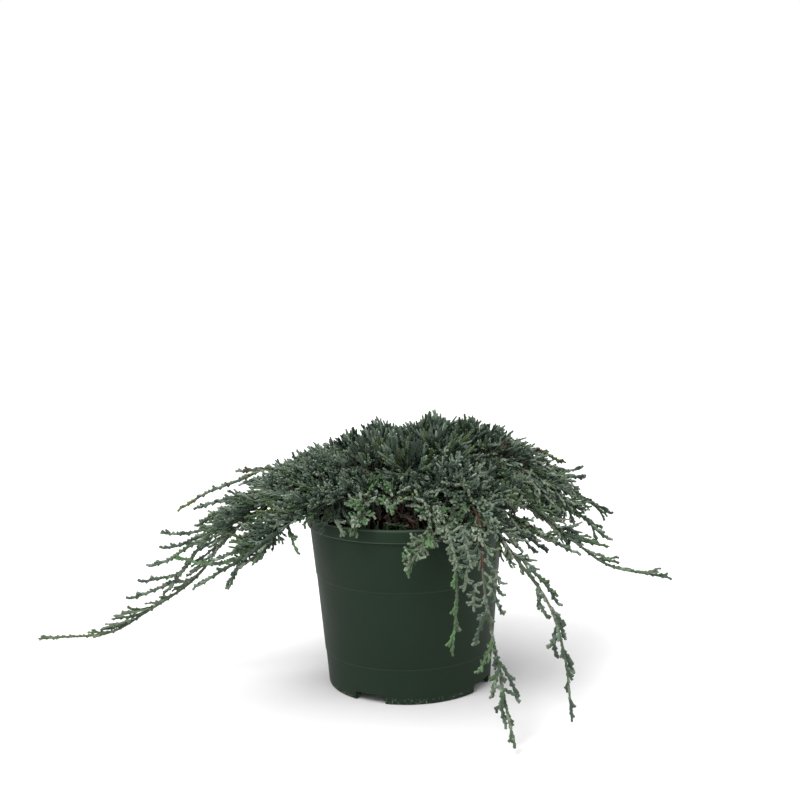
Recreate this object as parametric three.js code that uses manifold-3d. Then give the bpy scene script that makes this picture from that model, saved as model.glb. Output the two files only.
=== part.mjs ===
// A creeping juniper in a plain nursery pot.
//
// Millimetres, +Z up. The origin is the centre of the pot's flat underside, -Y is the plant's
// front and +X its right-hand side.
//
// Short limbs leave a stub of trunk, rise through a low mound and arch over the rim. Each limb
// is one smooth line, cut into a bare bough and the masses of foliage that carry on from its tip.
// A mass is a stem, twigs and spindle-shaped shoots fused into one solid, and it keeps to the
// space that lies nearer its own stem than any other.

import * as THREE from "three";
import { mergeVertices } from "three/addons/utils/BufferGeometryUtils.js";
import Module from "manifold-3d";

const wasm = await Module();
wasm.setup();

// Pot
const potHeight = 146;
const rimRadius = 82.5;
const rimBand = 11;
const bandOverhang = 2.2;
const wallTopRadius = 79.8;
const footRadius = 67.7;
const wallThickness = 1.8;
const ridgeHeights = [93, 28.5];
const ridgeStep = 0.5;
const channelInner = 50;
const channelOuter = 62;
const channelHeight = 6.8;
const notchCount = 4;
const notchTurn = 61;
const notchWidth = 27;
const notchHeight = 7;
const potSides = 36;

// Potting mix
const soilTop = 131;
const soilCrown = 2;
const seatGap = 0.3;
const soilSides = 24;

// Trunk
const trunkHeight = 40;
const trunkRadius = 8.5;
const trunkTipRadius = 5;
const flareRadius = 14;
const flareHeight = 9;
const trunkLean = 3;
const trunkSides = 12;
const trunkRings = 8;

// Limbs
const limbRootRadius = 2.5;
const limbTipRadius = 1.1;
const limbSides = 5;
const limbTierStep = 6;
const limbTiers = 4;
const limbLowestRoot = 11;
const limbStub = 4;
const jointGap = 0.3;
const rootGap = 0.9;
const crownStub = 7;

// Shoots and twigs, as [share of the half width, share of the length]
const shootStations = [[0, 0], [1, 0.4], [0, 1]];
const twigStations = [[0, 0], [0.34, 0.001], [1, 0.7], [0, 1]];
const shootFlatness = 0.75;
const tipLength = 22;
const shootSink = 4;
const shootLeast = 15;
const forkLength = 26;
const squeezes = [1, 0.65, 0.35];
const shortenings = [1, 0.7];
const spindleChecks = 8;

// Cores
const coreSides = 6;
const coreRings = 7;
const coreLeast = 1.6;
const coreStep = 1;
const coreSkin = 1;
const coreRimGap = 13;
const trailRing = 16;

// Space that a shoot leaves free
const cellGap = 1.2;
const limbGap = 0.5;
const potGap = 0.9;
const floorGap = 2;

// How each kind of mass grows. Lengths in millimetres, angles in degrees. The shoots are fewer and
// larger than the plant's own. A twig leaves the stem at twigAngle, on the side that turns gives in
// order (0 and 180 are the sides, 90 the top). It is lifted by liftRoot at the stem's root, by
// liftTip at its tip, and by level where the stem runs downhill. A dense mass has a fused core,
// coreWide to each side, coreThick above and coreDrop below, and its shoots stand out of that.
const habits = {
  crown: {
    twigStep: 3.9, twigLength: 29, twigAngle: 56, liftRoot: 0.6, liftTip: 0.35, level: 0, tipShare: 0.85,
    turns: [90, 20, 160, 60, 125, 0, 185, 100, 40, 145, 75, -20, 205], sway: 30,
    sideShoots: 0, shootWidth: 9,
    coreWide: 17, coreThick: 10, coreDrop: 24, coreEnd: 0.94,
  },
  hem: {
    twigStep: 8, twigLength: 40, twigAngle: 38, liftRoot: 0.3, liftTip: -0.1, level: 0, tipShare: 0.75,
    turns: [15, 165, 60, -50, 110, 200, 85, 230, 0, 140, -20, 40], sway: 24,
    sideShoots: 1, shootLength: 20, shootWidth: 8.5, shootAngle: 30,
    coreWide: 20, coreThick: 12, coreDrop: 34, coreEnd: 0.66,
  },
  skirt: {
    twigStep: 9.5, twigLength: 42, twigAngle: 32, liftRoot: 0.15, liftTip: -0.05, level: 0.35,
    tipShare: 0.7, turns: [15, 165, 60, 110, 0, 190, 85, 30, 175, 45, 140], sway: 24,
    sideShoots: 1, shootLength: 21, shootWidth: 8.5, shootAngle: 30,
    coreWide: 15, coreThick: 10, coreDrop: 12, coreEnd: 0.62,
  },
  trail: {
    twigStep: 14, twigLength: 36, twigAngle: 24, liftRoot: 0, liftTip: 0, level: 0.6, tipShare: 0.7,
    turns: [60, 135, 20, 95, 160], sway: 30, sideShoots: 0, shootWidth: 5,
  },
  fall: {
    twigStep: 15, twigLength: 32, twigAngle: 28, liftRoot: 0, liftTip: 0, level: 0, tipShare: 0.7,
    turns: [10, 170, 30, 190, 50, 150], sway: 30, sideShoots: 0, shootWidth: 5,
  },
};

// The skirt's limbs, anticlockwise from the front. Stations are radius, height and heading in
// degrees from +X, at the crest, the bends and the tip. Cuts are the shares of the limb's length
// where the bough ends and each further mass begins, with the kind of each mass.
const limbs = [
  { name: "front", stations: [[56, 167, -98], [76, 162, -98], [89, 153, -98]],
    cuts: [0.24], kinds: ["hem"] },
  { name: "front_spray", stations: [[58, 167, -80], [85, 153, -77], [103, 128, -88]],
    cuts: [0.22], kinds: ["hem"] },
  { name: "front_green", stations: [[62, 166, -66], [93, 145, -69], [116, 104, -71.5], [121, 70, -74]],
    cuts: [0.14, 0.5], kinds: ["hem", "fall"] },
  { name: "front_red", stations: [[72, 176, -57], [102, 154, -57], [125, 113, -63], [146, 76, -65],
    [168, 36, -66], [182, 15, -66.6]],
    cuts: [0.13, 0.46, 0.74], kinds: ["hem", "fall", "fall"] },
  { name: "right_hang", stations: [[70, 168, -48], [120, 128, -48], [158, 94, -48], [173, 56, -48],
    [178, 20, -48]],
    cuts: [0.13, 0.52], kinds: ["skirt", "fall"] },
  { name: "right_low", stations: [[64, 168, -34], [108, 142, -32], [132, 131, -30]],
    cuts: [0.2], kinds: ["hem"] },
  { name: "right_long", stations: [[68, 168, -12], [132, 124, -10], [166, 99, -9], [198, 92, -8.5]],
    cuts: [0.14, 0.62], kinds: ["skirt", "trail"] },
  { name: "right", stations: [[68, 185, 3], [110, 168, 2], [149, 131, 0]],
    cuts: [0.18], kinds: ["skirt"] },
  { name: "right_upper", stations: [[72, 190, 18], [116, 173, 15], [161, 138, 12.6]],
    cuts: [0.18], kinds: ["skirt"] },
  { name: "back_right", stations: [[70, 184, 40], [114, 166, 40], [144, 138, 40]],
    cuts: [0.2], kinds: ["skirt"] },
  { name: "back_fall", stations: [[66, 174, 62], [110, 146, 62], [142, 98, 64], [154, 56, 66]],
    cuts: [0.16, 0.62], kinds: ["skirt", "fall"] },
  { name: "back", stations: [[70, 184, 86], [112, 168, 86], [142, 142, 88]],
    cuts: [0.2], kinds: ["skirt"] },
  { name: "back_trail", stations: [[68, 176, 112], [126, 144, 112], [166, 110, 114], [198, 98, 116]],
    cuts: [0.14, 0.64], kinds: ["skirt", "trail"] },
  { name: "back_left", stations: [[72, 172, 138], [116, 160, 138], [154, 142, 136]],
    cuts: [0.2], kinds: ["skirt"] },
  { name: "left_upper", stations: [[76, 171, 162], [116, 164, 164], [158, 152, 167], [176, 147, 168]],
    cuts: [0.18], kinds: ["skirt"] },
  { name: "left_long", stations: [[72, 175, 178], [138, 141, 178], [176, 90, 178], [224, 57, 177.5],
    [254, 40, 177], [302, 35, 176.5]],
    cuts: [0.13, 0.46, 0.72], kinds: ["skirt", "trail", "trail"] },
  { name: "left_second", stations: [[76, 175, -162], [132, 151, -160], [186, 102, -160]],
    cuts: [0.18], kinds: ["skirt"] },
  { name: "left_curl", stations: [[84, 175, -149], [132, 138, -148], [152, 131, -148], [182, 131, -148]],
    cuts: [0.2], kinds: ["skirt"] },
  { name: "left_drop", stations: [[84, 165, -137], [121, 152, -139], [154, 129, -141], [174, 119, -144]],
    cuts: [0.2], kinds: ["skirt"] },
  { name: "front_left", stations: [[58, 168, -118], [80, 162, -115], [92, 152, -113]],
    cuts: [0.24], kinds: ["hem"] },
];

// The crown's masses, which leave the top of the trunk. lean is the radius of a stem's tip, and
// arch is how far its middle rises above a straight line.
const crowns = [
  { name: "top", heading: 5, lean: 25, height: 203, arch: 0 },
  { name: "front", heading: -90, lean: 46, height: 184, arch: 7 },
  { name: "front_right", heading: -46, lean: 48, height: 187, arch: 9 },
  { name: "right", heading: 4, lean: 58, height: 199, arch: 6 },
  { name: "back_right", heading: 62, lean: 50, height: 192, arch: 9 },
  { name: "back_left", heading: 120, lean: 50, height: 190, arch: 9 },
  { name: "left", heading: 172, lean: 46, height: 187, arch: 7 },
  { name: "front_left", heading: -136, lean: 48, height: 183, arch: 9 },
];

const colours = {
  pot: 0x26332b,
  soil: 0x2b1f18,
  bark: 0x5e4236,
  foliage: { crown: 0x4a6153, hem: 0x4f6757, skirt: 0x536b5a, trail: 0x5b6f55, fall: 0x5b6f55 },
};

const weldStep = 1e-3;
const flattening = 0.05;
const up = new THREE.Vector3(0, 0, 1);
const radians = THREE.MathUtils.degToRad;
const mix = THREE.MathUtils.lerp;

// A number from 0 to 1 that depends only on the two whole numbers given.
function chance(seed, draw) {
  let h = Math.imul(seed + 1, 0x9e3779b1) ^ Math.imul(draw + 1, 0x85ebca6b);
  h = Math.imul(h ^ (h >>> 15), 0x2c1b3c6d);
  h = Math.imul(h ^ (h >>> 13), 0x297a2d39);
  return ((h ^ (h >>> 16)) >>> 0) / 4294967296;
}

function around(headingDegrees, radius, height) {
  const a = radians(headingDegrees);
  return new THREE.Vector3(radius * Math.cos(a), radius * Math.sin(a), height);
}

// Solids

function solidOf(geometry) {
  const bare = geometry.clone();
  bare.deleteAttribute("normal");
  bare.deleteAttribute("uv");
  const merged = mergeVertices(bare, weldStep);
  return new wasm.Manifold(new wasm.Mesh({
    numProp: 3,
    vertProperties: new Float32Array(merged.attributes.position.array),
    triVerts: new Uint32Array(merged.index.array),
  }));
}

function geometryOf(solid) {
  const mesh = solid.getMesh();
  const geometry = new THREE.BufferGeometry();
  const positions = new Float32Array(mesh.numVert * 3);
  for (let i = 0; i < mesh.numVert; i++) {
    positions.set(mesh.vertProperties.subarray(i * mesh.numProp, i * mesh.numProp + 3), i * 3);
  }
  geometry.setAttribute("position", new THREE.BufferAttribute(positions, 3));
  geometry.setIndex(new THREE.BufferAttribute(mesh.triVerts, 1));
  return geometry;
}

function largestBody(solid) {
  return solid.decompose().reduce((best, body) => (body.volume() > best.volume() ? body : best));
}

// Joins solids in pairs, and keeps the largest body, so that a loose scrap or a sealed hollow goes.
function fuse(solids) {
  let level = solids;
  while (level.length > 1) {
    const next = [];
    for (let i = 0; i < level.length; i += 2) {
      next.push(i + 1 < level.length ? level[i].add(level[i + 1]) : level[i]);
    }
    level = next;
  }
  const body = largestBody(level[0].simplify(flattening));
  return largestBody(solidOf(geometryOf(body)));
}

// A line is a list of points. These read it by share of its length.
function lineOf(curve, steps) {
  return curve.getSpacedPoints(steps);
}

function pointOn(line, share) {
  const at = THREE.MathUtils.clamp(share, 0, 1) * (line.length - 1);
  const i = Math.min(Math.floor(at), line.length - 2);
  return line[i].clone().lerp(line[i + 1], at - i);
}

function tangentOn(line, share) {
  const step = 0.5 / (line.length - 1);
  return pointOn(line, share + step).sub(pointOn(line, share - step)).normalize();
}

function lengthOf(line) {
  return line.reduce((sum, p, i) => (i ? sum + p.distanceTo(line[i - 1]) : 0), 0);
}

// The directions to the side of a tangent and over it.
function sidesOf(tangent) {
  const reference = Math.abs(tangent.z) > 0.95 ? new THREE.Vector3(0, 1, 0) : up;
  const side = new THREE.Vector3().crossVectors(tangent, reference).normalize();
  return { side, over: new THREE.Vector3().crossVectors(side, tangent) };
}

// Bends an upright cylinder of many rings along a line. radiusAt gives the radius at a share of the
// length, in the direction out from the line.
function bentRod(line, from, to, sides, rings, radiusAt) {
  const geometry = new THREE.CylinderGeometry(1, 1, 1, sides, rings);
  const position = geometry.attributes.position;
  for (let i = 0; i < position.count; i++) {
    const share = position.getY(i) + 0.5;
    const s = mix(from, to, share);
    const tangent = tangentOn(line, s);
    const { side, over } = sidesOf(tangent);
    const out = side.multiplyScalar(position.getX(i)).addScaledVector(over, position.getZ(i));
    const p = pointOn(line, s);
    if (out.length() > 0.5) {
      p.addScaledVector(out, radiusAt(share, out));
    }
    position.setXYZ(i, p.x, p.y, p.z);
  }
  return outward(geometry);
}

function turnedRound(geometry) {
  const index = geometry.index.array;
  for (let i = 0; i < index.length; i += 3) {
    [index[i + 1], index[i + 2]] = [index[i + 2], index[i + 1]];
  }
  return geometry;
}

// A three-sided body of revolution, flattened across the normal, with [radius, share] stations.
function spindleSolid(spindle, stations) {
  const { root, direction, length, width, normal } = spindle;
  const points = stations.map(([radius, share]) => new THREE.Vector2((radius * width) / 2, share * length));
  const geometry = new THREE.LatheGeometry(points, 3);
  const along = direction.clone().normalize();
  const side = new THREE.Vector3().crossVectors(along, normal).normalize();
  const flat = new THREE.Vector3().crossVectors(side, along);
  const position = geometry.attributes.position;
  for (let i = 0; i < position.count; i++) {
    const p = root.clone()
      .addScaledVector(along, position.getY(i))
      .addScaledVector(side, position.getX(i))
      .addScaledVector(flat, position.getZ(i) * shootFlatness);
    position.setXYZ(i, p.x, p.y, p.z);
  }
  return outward(geometry);
}

// The solid of a closed geometry, turned round if its faces point inwards.
function outward(geometry) {
  const merged = mergeVertices(stripped(geometry), weldStep);
  const solid = solidOf(merged);
  return solid.volume() < 0 ? solidOf(turnedRound(merged)) : solid;
}

function stripped(geometry) {
  geometry.deleteAttribute("normal");
  geometry.deleteAttribute("uv");
  return geometry;
}

// The lines of the whole plant

function trunkLine() {
  const foot = new THREE.Vector3(0, 0, soilTop + soilCrown + seatGap);
  const head = new THREE.Vector3(trunkLean, 0, foot.z + trunkHeight);
  const middle = foot.clone().lerp(head, 0.5).add(new THREE.Vector3(-trunkLean / 4, trunkLean / 4, 0));
  return lineOf(new THREE.CatmullRomCurve3([foot, middle, head], false, "centripetal"), 16);
}

const trunk = trunkLine();

function trunkRadiusAt(share) {
  const rise = share * trunkHeight;
  const flare = Math.max(0, 1 - rise / flareHeight) ** 2;
  return mix(trunkRadius, trunkTipRadius, share) + (flareRadius - trunkRadius) * flare;
}

function limbLine(limb, index) {
  const rootHeading = limbs[0].stations[0][2] + (360 / limbs.length) * index;
  const rise = limbLowestRoot + limbTierStep * (index % limbTiers);
  const core = pointOn(trunk, rise / trunkHeight);
  const skin = trunkRadiusAt(rise / trunkHeight) + rootGap;
  const [radius, height, heading] = limb.stations[0];
  const turn = THREE.MathUtils.euclideanModulo(heading - rootHeading + 180, 360) - 180;
  const points = [
    core.clone().add(around(rootHeading, skin, 0)),
    core.clone().add(around(rootHeading, skin + limbStub, 0)),
    around(rootHeading + turn * 0.4, radius * 0.45, mix(core.z, height, 0.62)),
    ...limb.stations.map(([r, z, a]) => around(a, r, z)),
  ];
  return lineOf(new THREE.CatmullRomCurve3(points, false, "centripetal"), 48);
}

function crownLine(crown, index) {
  const rise = trunkHeight - (index ? 3 + 2.5 * (index % 2) : 0);
  const core = pointOn(trunk, rise / trunkHeight);
  const skin = trunkRadiusAt(rise / trunkHeight) + rootGap;
  const tip = around(crown.heading, crown.lean, crown.height);
  if (!index) {
    const root = core.clone().add(new THREE.Vector3(0, 0, rootGap));
    const stub = root.clone().add(new THREE.Vector3(0, 0, crownStub));
    return lineOf(new THREE.CatmullRomCurve3([root, stub, tip], false, "centripetal"), 24);
  }
  const root = core.clone().add(around(crown.heading, skin, 0));
  const stub = core.clone().add(around(crown.heading, skin + crownStub, 0));
  const middle = stub.clone().lerp(tip, 0.5).add(new THREE.Vector3(0, 0, crown.arch));
  return lineOf(new THREE.CatmullRomCurve3([root, stub, middle, tip], false, "centripetal"), 24);
}

function limbRadiusAt(share) {
  return mix(limbRootRadius, limbTipRadius, share);
}

// Boughs and the stems of masses, each a stretch of one line with its radii.
const boughs = [];
const stems = [];

limbs.forEach((limb, index) => {
  const line = limbLine(limb, index);
  const half = jointGap / 2 / lengthOf(line);
  boughs.push({ name: `bough_${limb.name}`, line, from: 0, to: limb.cuts[0] - half });
  limb.kinds.forEach((kind, k) => {
    const last = k === limb.kinds.length - 1;
    const part = ["", "_middle", "_end"][last && k ? 2 : k];
    stems.push({
      name: `foliage_${limb.name}${part}`,
      kind,
      line,
      from: limb.cuts[k] + half,
      to: last ? 1 : limb.cuts[k + 1] - half,
      bare: 0,
      last,
      seed: 10 * index + k + 100,
    });
  });
});

crowns.forEach((crown, index) => {
  const line = crownLine(crown, index);
  stems.push({
    name: `foliage_crown_${crown.name}`,
    kind: "crown",
    line,
    from: 0,
    to: 1,
    bare: index ? 0.3 : 0.1,
    last: true,
    seed: index + 1,
  });
});

function sampled(part, steps) {
  return Array.from({ length: steps + 1 }, (_, i) => {
    const share = mix(part.from, part.to, i / steps);
    return { p: pointOn(part.line, share), r: limbRadiusAt(share) };
  });
}

boughs.forEach((bough) => { bough.samples = sampled(bough, 12); });
stems.forEach((stem) => { stem.samples = sampled(stem, 14); });
const trunkSamples = trunk.map((p, i) => ({ p, r: trunkRadiusAt(i / (trunk.length - 1)) }));

const segment = new THREE.Line3();
const onSegment = new THREE.Vector3();

// The nearest point of a sampled line, its distance, and the line's radius there.
function nearestOn(p, samples) {
  const best = { distance: Infinity, at: new THREE.Vector3(), radius: 0 };
  for (let i = 0; i + 1 < samples.length; i++) {
    segment.set(samples[i].p, samples[i + 1].p);
    const t = segment.closestPointToPointParameter(p, true);
    segment.at(t, onSegment);
    const distance = onSegment.distanceTo(p);
    if (distance < best.distance) {
      best.distance = distance;
      best.at.copy(onSegment);
      best.radius = mix(samples[i].r, samples[i + 1].r, t);
    }
  }
  return best;
}

function isClearOf(p, samples, gap) {
  const near = nearestOn(p, samples);
  return near.distance - near.radius > gap;
}

function wallRadiusAt(height) {
  return mix(footRadius, wallTopRadius, height / (potHeight - rimBand));
}

// The distance from a point to the pot, the potting mix and the ground, about.
function potClearance(p) {
  const radius = Math.hypot(p.x, p.y);
  const overSoil = p.z - soilTop - soilCrown;
  if (p.z > potHeight) {
    const aside = radius > rimRadius ? radius - rimRadius : Math.max(0, rimRadius - 4 - radius);
    return Math.hypot(p.z - potHeight, aside);
  }
  const outside = radius - (p.z > potHeight - rimBand - 1 ? rimRadius : wallRadiusAt(p.z) + 0.5);
  if (outside > 0) {
    return outside;
  }
  const inside = wallTopRadius - wallThickness - 1.5 - radius;
  return Math.min(inside, overSoil);
}

// Whether a point of the given half width keeps to its stem's own space, which ends halfway to
// each other stem.
function isFree(p, halfWidth, stem) {
  if (p.z < floorGap + halfWidth || potClearance(p) < potGap + halfWidth) {
    return false;
  }
  if (![trunkSamples, ...boughs.map((bough) => bough.samples)].every(
    (samples) => isClearOf(p, samples, limbGap + halfWidth))) {
    return false;
  }
  const own = nearestOn(p, stem.samples);
  return stems.every((other) => {
    if (other === stem) {
      return true;
    }
    const near = nearestOn(p, other.samples);
    const apart = near.at.distanceTo(own.at);
    return (near.distance ** 2 - own.distance ** 2) / (2 * apart) > halfWidth + cellGap / 2;
  });
}

// Whether a spindle keeps to its stem's own space, its root apart.
function isSpindleFree(spindle, stations, stem) {
  const { root, direction, length, width } = spindle;
  for (let i = 1; i <= spindleChecks; i++) {
    const share = i / spindleChecks;
    const after = stations.findIndex((station) => station[1] >= share);
    const [r0, s0] = stations[after - 1];
    const [r1, s1] = stations[after];
    const halfWidth = (width / 2) * mix(r0, r1, (share - s0) / (s1 - s0));
    if (!isFree(root.clone().addScaledVector(direction, share * length), halfWidth, stem)) {
      return false;
    }
  }
  return true;
}

// How far a mass's core reaches out from its stem, in a direction and within the mass's own space.
// Only the part of a core that is well inside the rim hangs down into the pot.
function coreReach(stem, share, out) {
  const habit = habits[stem.kind];
  const within = (share - stem.bare) / (habit.coreEnd - stem.bare);
  if (!habit.coreWide || within <= 0 || within >= 1) {
    return 0;
  }
  const swell = Math.sin(Math.PI * within) ** 0.6;
  const thick = out.z > 0 ? habit.coreThick : habit.coreDrop;
  const reach = Math.hypot(habit.coreWide * Math.hypot(out.x, out.y), thick * out.z) * swell;
  const p = pointOn(stem.line, mix(stem.from, stem.to, share));
  const inside = Math.hypot(p.x, p.y) < rimRadius - coreRimGap;
  const isOpen = (q) => inside || q.z > potHeight + 1 || Math.hypot(q.x, q.y) > rimRadius;
  let room = coreLeast;
  while (room < reach) {
    const q = p.clone().addScaledVector(out, room + coreStep);
    if (!isOpen(q) || !isFree(q, coreSkin, stem)) {
      break;
    }
    room += coreStep;
  }
  return Math.min(room, reach);
}

// A twig's direction: forwards along the stem, out to its own side, and up.
function grow(tangent, angle, turn, lift) {
  const { side, over } = sidesOf(tangent);
  const out = side.multiplyScalar(Math.cos(turn)).addScaledVector(over, Math.sin(turn));
  return tangent.clone().multiplyScalar(Math.cos(angle)).addScaledVector(out, Math.sin(angle))
    .addScaledVector(up, lift).normalize();
}

// All the twigs and shoots of a mass, by its kind's rule. A twig that would leave the mass's space
// is tried again nearer the stem's own direction and shorter, and otherwise skipped.
function growth(stem) {
  const habit = habits[stem.kind];
  const stemLength = lengthOf(stem.line) * (stem.to - stem.from);
  const count = Math.max(3, Math.round((stemLength * (1 - stem.bare)) / habit.twigStep));
  const twigs = [];
  const shoots = [];
  const draw = (k, channel) => chance(stem.seed, k * 16 + channel);

  const addTwig = (k, along) => {
    const share = mix(stem.from, stem.to, along);
    const tangent = tangentOn(stem.line, share);
    const turn = radians(habit.turns[k % habit.turns.length] + habit.sway * (draw(k, 1) - 0.5));
    const angle = radians(habit.twigAngle * (0.8 + 0.4 * draw(k, 2)));
    const lift = mix(habit.liftRoot, habit.liftTip, along) - habit.level * Math.min(0, tangent.z);
    const size = (0.8 + 0.4 * draw(k, 3)) * mix(1, habit.tipShare, along);
    for (const squeeze of squeezes) {
      const direction = grow(tangent, angle * squeeze, turn, lift);
      const normal = new THREE.Vector3().crossVectors(tangent, direction).normalize();
      const hidden = Math.max(0, coreReach(stem, along, direction) - shootSink);
      const root = pointOn(stem.line, share).addScaledVector(direction, hidden);
      for (const shortening of shortenings) {
        const length = Math.max(habit.twigLength * size * shortening - hidden, shootLeast);
        const forks = length > forkLength;
        const twig = { root, direction, length, width: habit.shootWidth, normal, forks };
        if (isSpindleFree(twig, forks ? twigStations : shootStations, stem)) {
          return twig;
        }
      }
    }
    return null;
  };

  for (let k = 0; k < count; k++) {
    const along = stem.bare + ((1 - stem.bare) * (k + 0.4 + 0.5 * draw(k, 0))) / count;
    const twig = addTwig(k, along);
    if (!twig) {
      continue;
    }
    (twig.forks ? twigs : shoots).push(twig);
    for (let j = 0; twig.forks && j < habit.sideShoots; j++) {
      const lean = radians(habit.shootAngle) * ((j + k) % 2 ? 1 : -1);
      const shoot = {
        root: twig.root.clone().addScaledVector(twig.direction, twig.length * (0.34 + 0.2 * j)),
        direction: twig.direction.clone().applyAxisAngle(twig.normal, lean),
        length: habit.shootLength * (0.8 + 0.4 * draw(k, 4 + j)),
        width: habit.shootWidth * 0.9,
        normal: twig.normal,
      };
      if (isSpindleFree(shoot, shootStations, stem)) {
        shoots.push(shoot);
      }
    }
  }
  if (stem.last) {
    const tangent = tangentOn(stem.line, 1);
    const normal = new THREE.Vector3().crossVectors(tangent, up).normalize();
    shoots.push({
      root: pointOn(stem.line, 0.985),
      direction: tangent,
      length: tipLength,
      width: habit.shootWidth,
      normal,
    });
  }
  return { twigs, shoots };
}

// The stem of a mass, which swells to the core of a dense one.
function stemSolid(stem) {
  const stemRadius = (share) => limbRadiusAt(mix(stem.from, stem.to, share));
  if (!habits[stem.kind].coreWide) {
    const rings = Math.max(3, Math.round((lengthOf(stem.line) * (stem.to - stem.from)) / trailRing));
    return bentRod(stem.line, stem.from, stem.to, 4, rings, stemRadius);
  }
  return bentRod(stem.line, stem.from, stem.to, coreSides, coreRings,
    (share, out) => Math.max(stemRadius(share), coreReach(stem, share, out)));
}

function massSolid(stem) {
  const { twigs, shoots } = growth(stem);
  const solids = [
    stemSolid(stem),
    ...twigs.map((twig) => spindleSolid(twig, twigStations)),
    ...shoots.map((shoot) => spindleSolid(shoot, shootStations)),
  ];
  return fuse(solids);
}

// Pot and potting mix

function lathe(profile, sides) {
  const points = profile.map(([radius, height]) => new THREE.Vector2(radius, height));
  const geometry = new THREE.LatheGeometry(points, sides);
  geometry.rotateX(Math.PI / 2);
  return outward(geometry);
}

function potSolid() {
  const under = potHeight - rimBand;
  const [upperRidge, lowerRidge] = ridgeHeights;
  const inner = (height) => wallRadiusAt(height) - wallThickness;
  const profile = [
    [0, 0],
    [channelInner, 0],
    [channelInner + 2, channelHeight],
    [channelOuter, channelHeight],
    [channelOuter + 2.5, 0],
    [footRadius - 1, 0],
    [footRadius, 1],
    [wallRadiusAt(lowerRidge) - ridgeStep, lowerRidge],
    [wallRadiusAt(lowerRidge), lowerRidge + 0.8],
    [wallRadiusAt(upperRidge) - ridgeStep, upperRidge],
    [wallRadiusAt(upperRidge), upperRidge + 0.8],
    [wallTopRadius, under],
    [wallTopRadius + bandOverhang, under + 0.4],
    [rimRadius, potHeight - 0.6],
    [rimRadius - 0.7, potHeight],
    [rimRadius - 2.3, potHeight],
    [inner(under) + 0.5, under - 2],
    [inner(channelHeight + 3), channelHeight + 3],
    [channelInner - 1, channelHeight + 3],
    [channelInner - 3, 2.4],
    [0, 2.4],
  ];
  let pot = lathe(profile, potSides);
  for (let i = 0; i < notchCount; i++) {
    const box = new THREE.BoxGeometry(14, notchWidth, notchHeight * 2);
    box.translate(footRadius + 1, 0, 0);
    box.rotateZ(radians(notchTurn - 90 + (360 / notchCount) * i));
    pot = pot.subtract(solidOf(box));
  }
  return pot;
}

function soilSolid() {
  const inner = (height) => wallRadiusAt(height) - wallThickness - 0.5;
  const floor = channelHeight + 3 + seatGap;
  const profile = [
    [0, 2.4 + seatGap],
    [channelInner - 4, 2.4 + seatGap],
    [channelInner - 2, floor],
    [inner(floor) - 0.3, floor],
    [inner(soilTop), soilTop],
    [inner(soilTop) * 0.6, soilTop + soilCrown * 0.8],
    [flareRadius + 4, soilTop + soilCrown],
    [0, soilTop + soilCrown],
  ];
  return lathe(profile, soilSides);
}

// The trunk's rings stay level, so that its foot is a flat cut on the potting mix.
function trunkSolid() {
  const geometry = new THREE.CylinderGeometry(1, 1, trunkHeight, trunkSides, trunkRings);
  geometry.rotateX(Math.PI / 2);
  const position = geometry.attributes.position;
  for (let i = 0; i < position.count; i++) {
    const share = position.getZ(i) / trunkHeight + 0.5;
    const centre = pointOn(trunk, share);
    const radius = trunkRadiusAt(share);
    position.setXYZ(i, centre.x + position.getX(i) * radius, centre.y + position.getY(i) * radius,
      trunk[0].z + share * trunkHeight);
  }
  return solidOf(geometry);
}

// The plant

const plant = new THREE.Group();

function addNode(name, solid, color, roughness) {
  const material = new THREE.MeshStandardMaterial({ color, roughness, metalness: 0 });
  const mesh = new THREE.Mesh(geometryOf(solid), material);
  mesh.name = name;
  plant.add(mesh);
}

addNode("pot", potSolid(), colours.pot, 0.45);
addNode("soil", soilSolid(), colours.soil, 0.95);
addNode("trunk", trunkSolid(), colours.bark, 0.85);
for (const bough of boughs) {
  const rod = bentRod(bough.line, bough.from, bough.to, limbSides, 6,
    (share) => limbRadiusAt(mix(bough.from, bough.to, share)));
  addNode(bough.name, rod, colours.bark, 0.85);
}
for (const stem of stems) {
  addNode(stem.name, massSolid(stem), colours.foliage[stem.kind], 0.75);
}

export default plant;
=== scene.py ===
# A creeping juniper in a plain nursery pot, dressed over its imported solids.
# Lengths are in millimetres up to the last step, where each mesh is written in metres.
import math
import bmesh
import bpy
import numpy as np
from mathutils import Matrix, Vector, noise


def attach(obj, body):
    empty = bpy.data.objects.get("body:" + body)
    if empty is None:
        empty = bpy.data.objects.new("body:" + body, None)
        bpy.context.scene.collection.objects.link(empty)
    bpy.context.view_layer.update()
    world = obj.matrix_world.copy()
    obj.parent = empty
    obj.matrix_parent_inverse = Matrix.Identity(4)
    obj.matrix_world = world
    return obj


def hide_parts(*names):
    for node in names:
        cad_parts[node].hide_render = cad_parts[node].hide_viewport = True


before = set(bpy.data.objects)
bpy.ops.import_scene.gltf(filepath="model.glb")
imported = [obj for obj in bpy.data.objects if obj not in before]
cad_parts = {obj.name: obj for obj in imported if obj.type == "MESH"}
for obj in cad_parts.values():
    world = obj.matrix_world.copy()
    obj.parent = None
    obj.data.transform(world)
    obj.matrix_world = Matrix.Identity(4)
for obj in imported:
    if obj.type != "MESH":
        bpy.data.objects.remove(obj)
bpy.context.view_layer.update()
mm = 0.001
up = np.array([0.0, 0.0, 1.0])
mergeGap = 0.01  # corners nearer than this are one
steepFrom = 0.95  # a line is upright where it rises by more than this share of its length
splineSteps = 60  # between two points of a smooth line

print("stage: helpers")


# Numbers and directions

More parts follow.
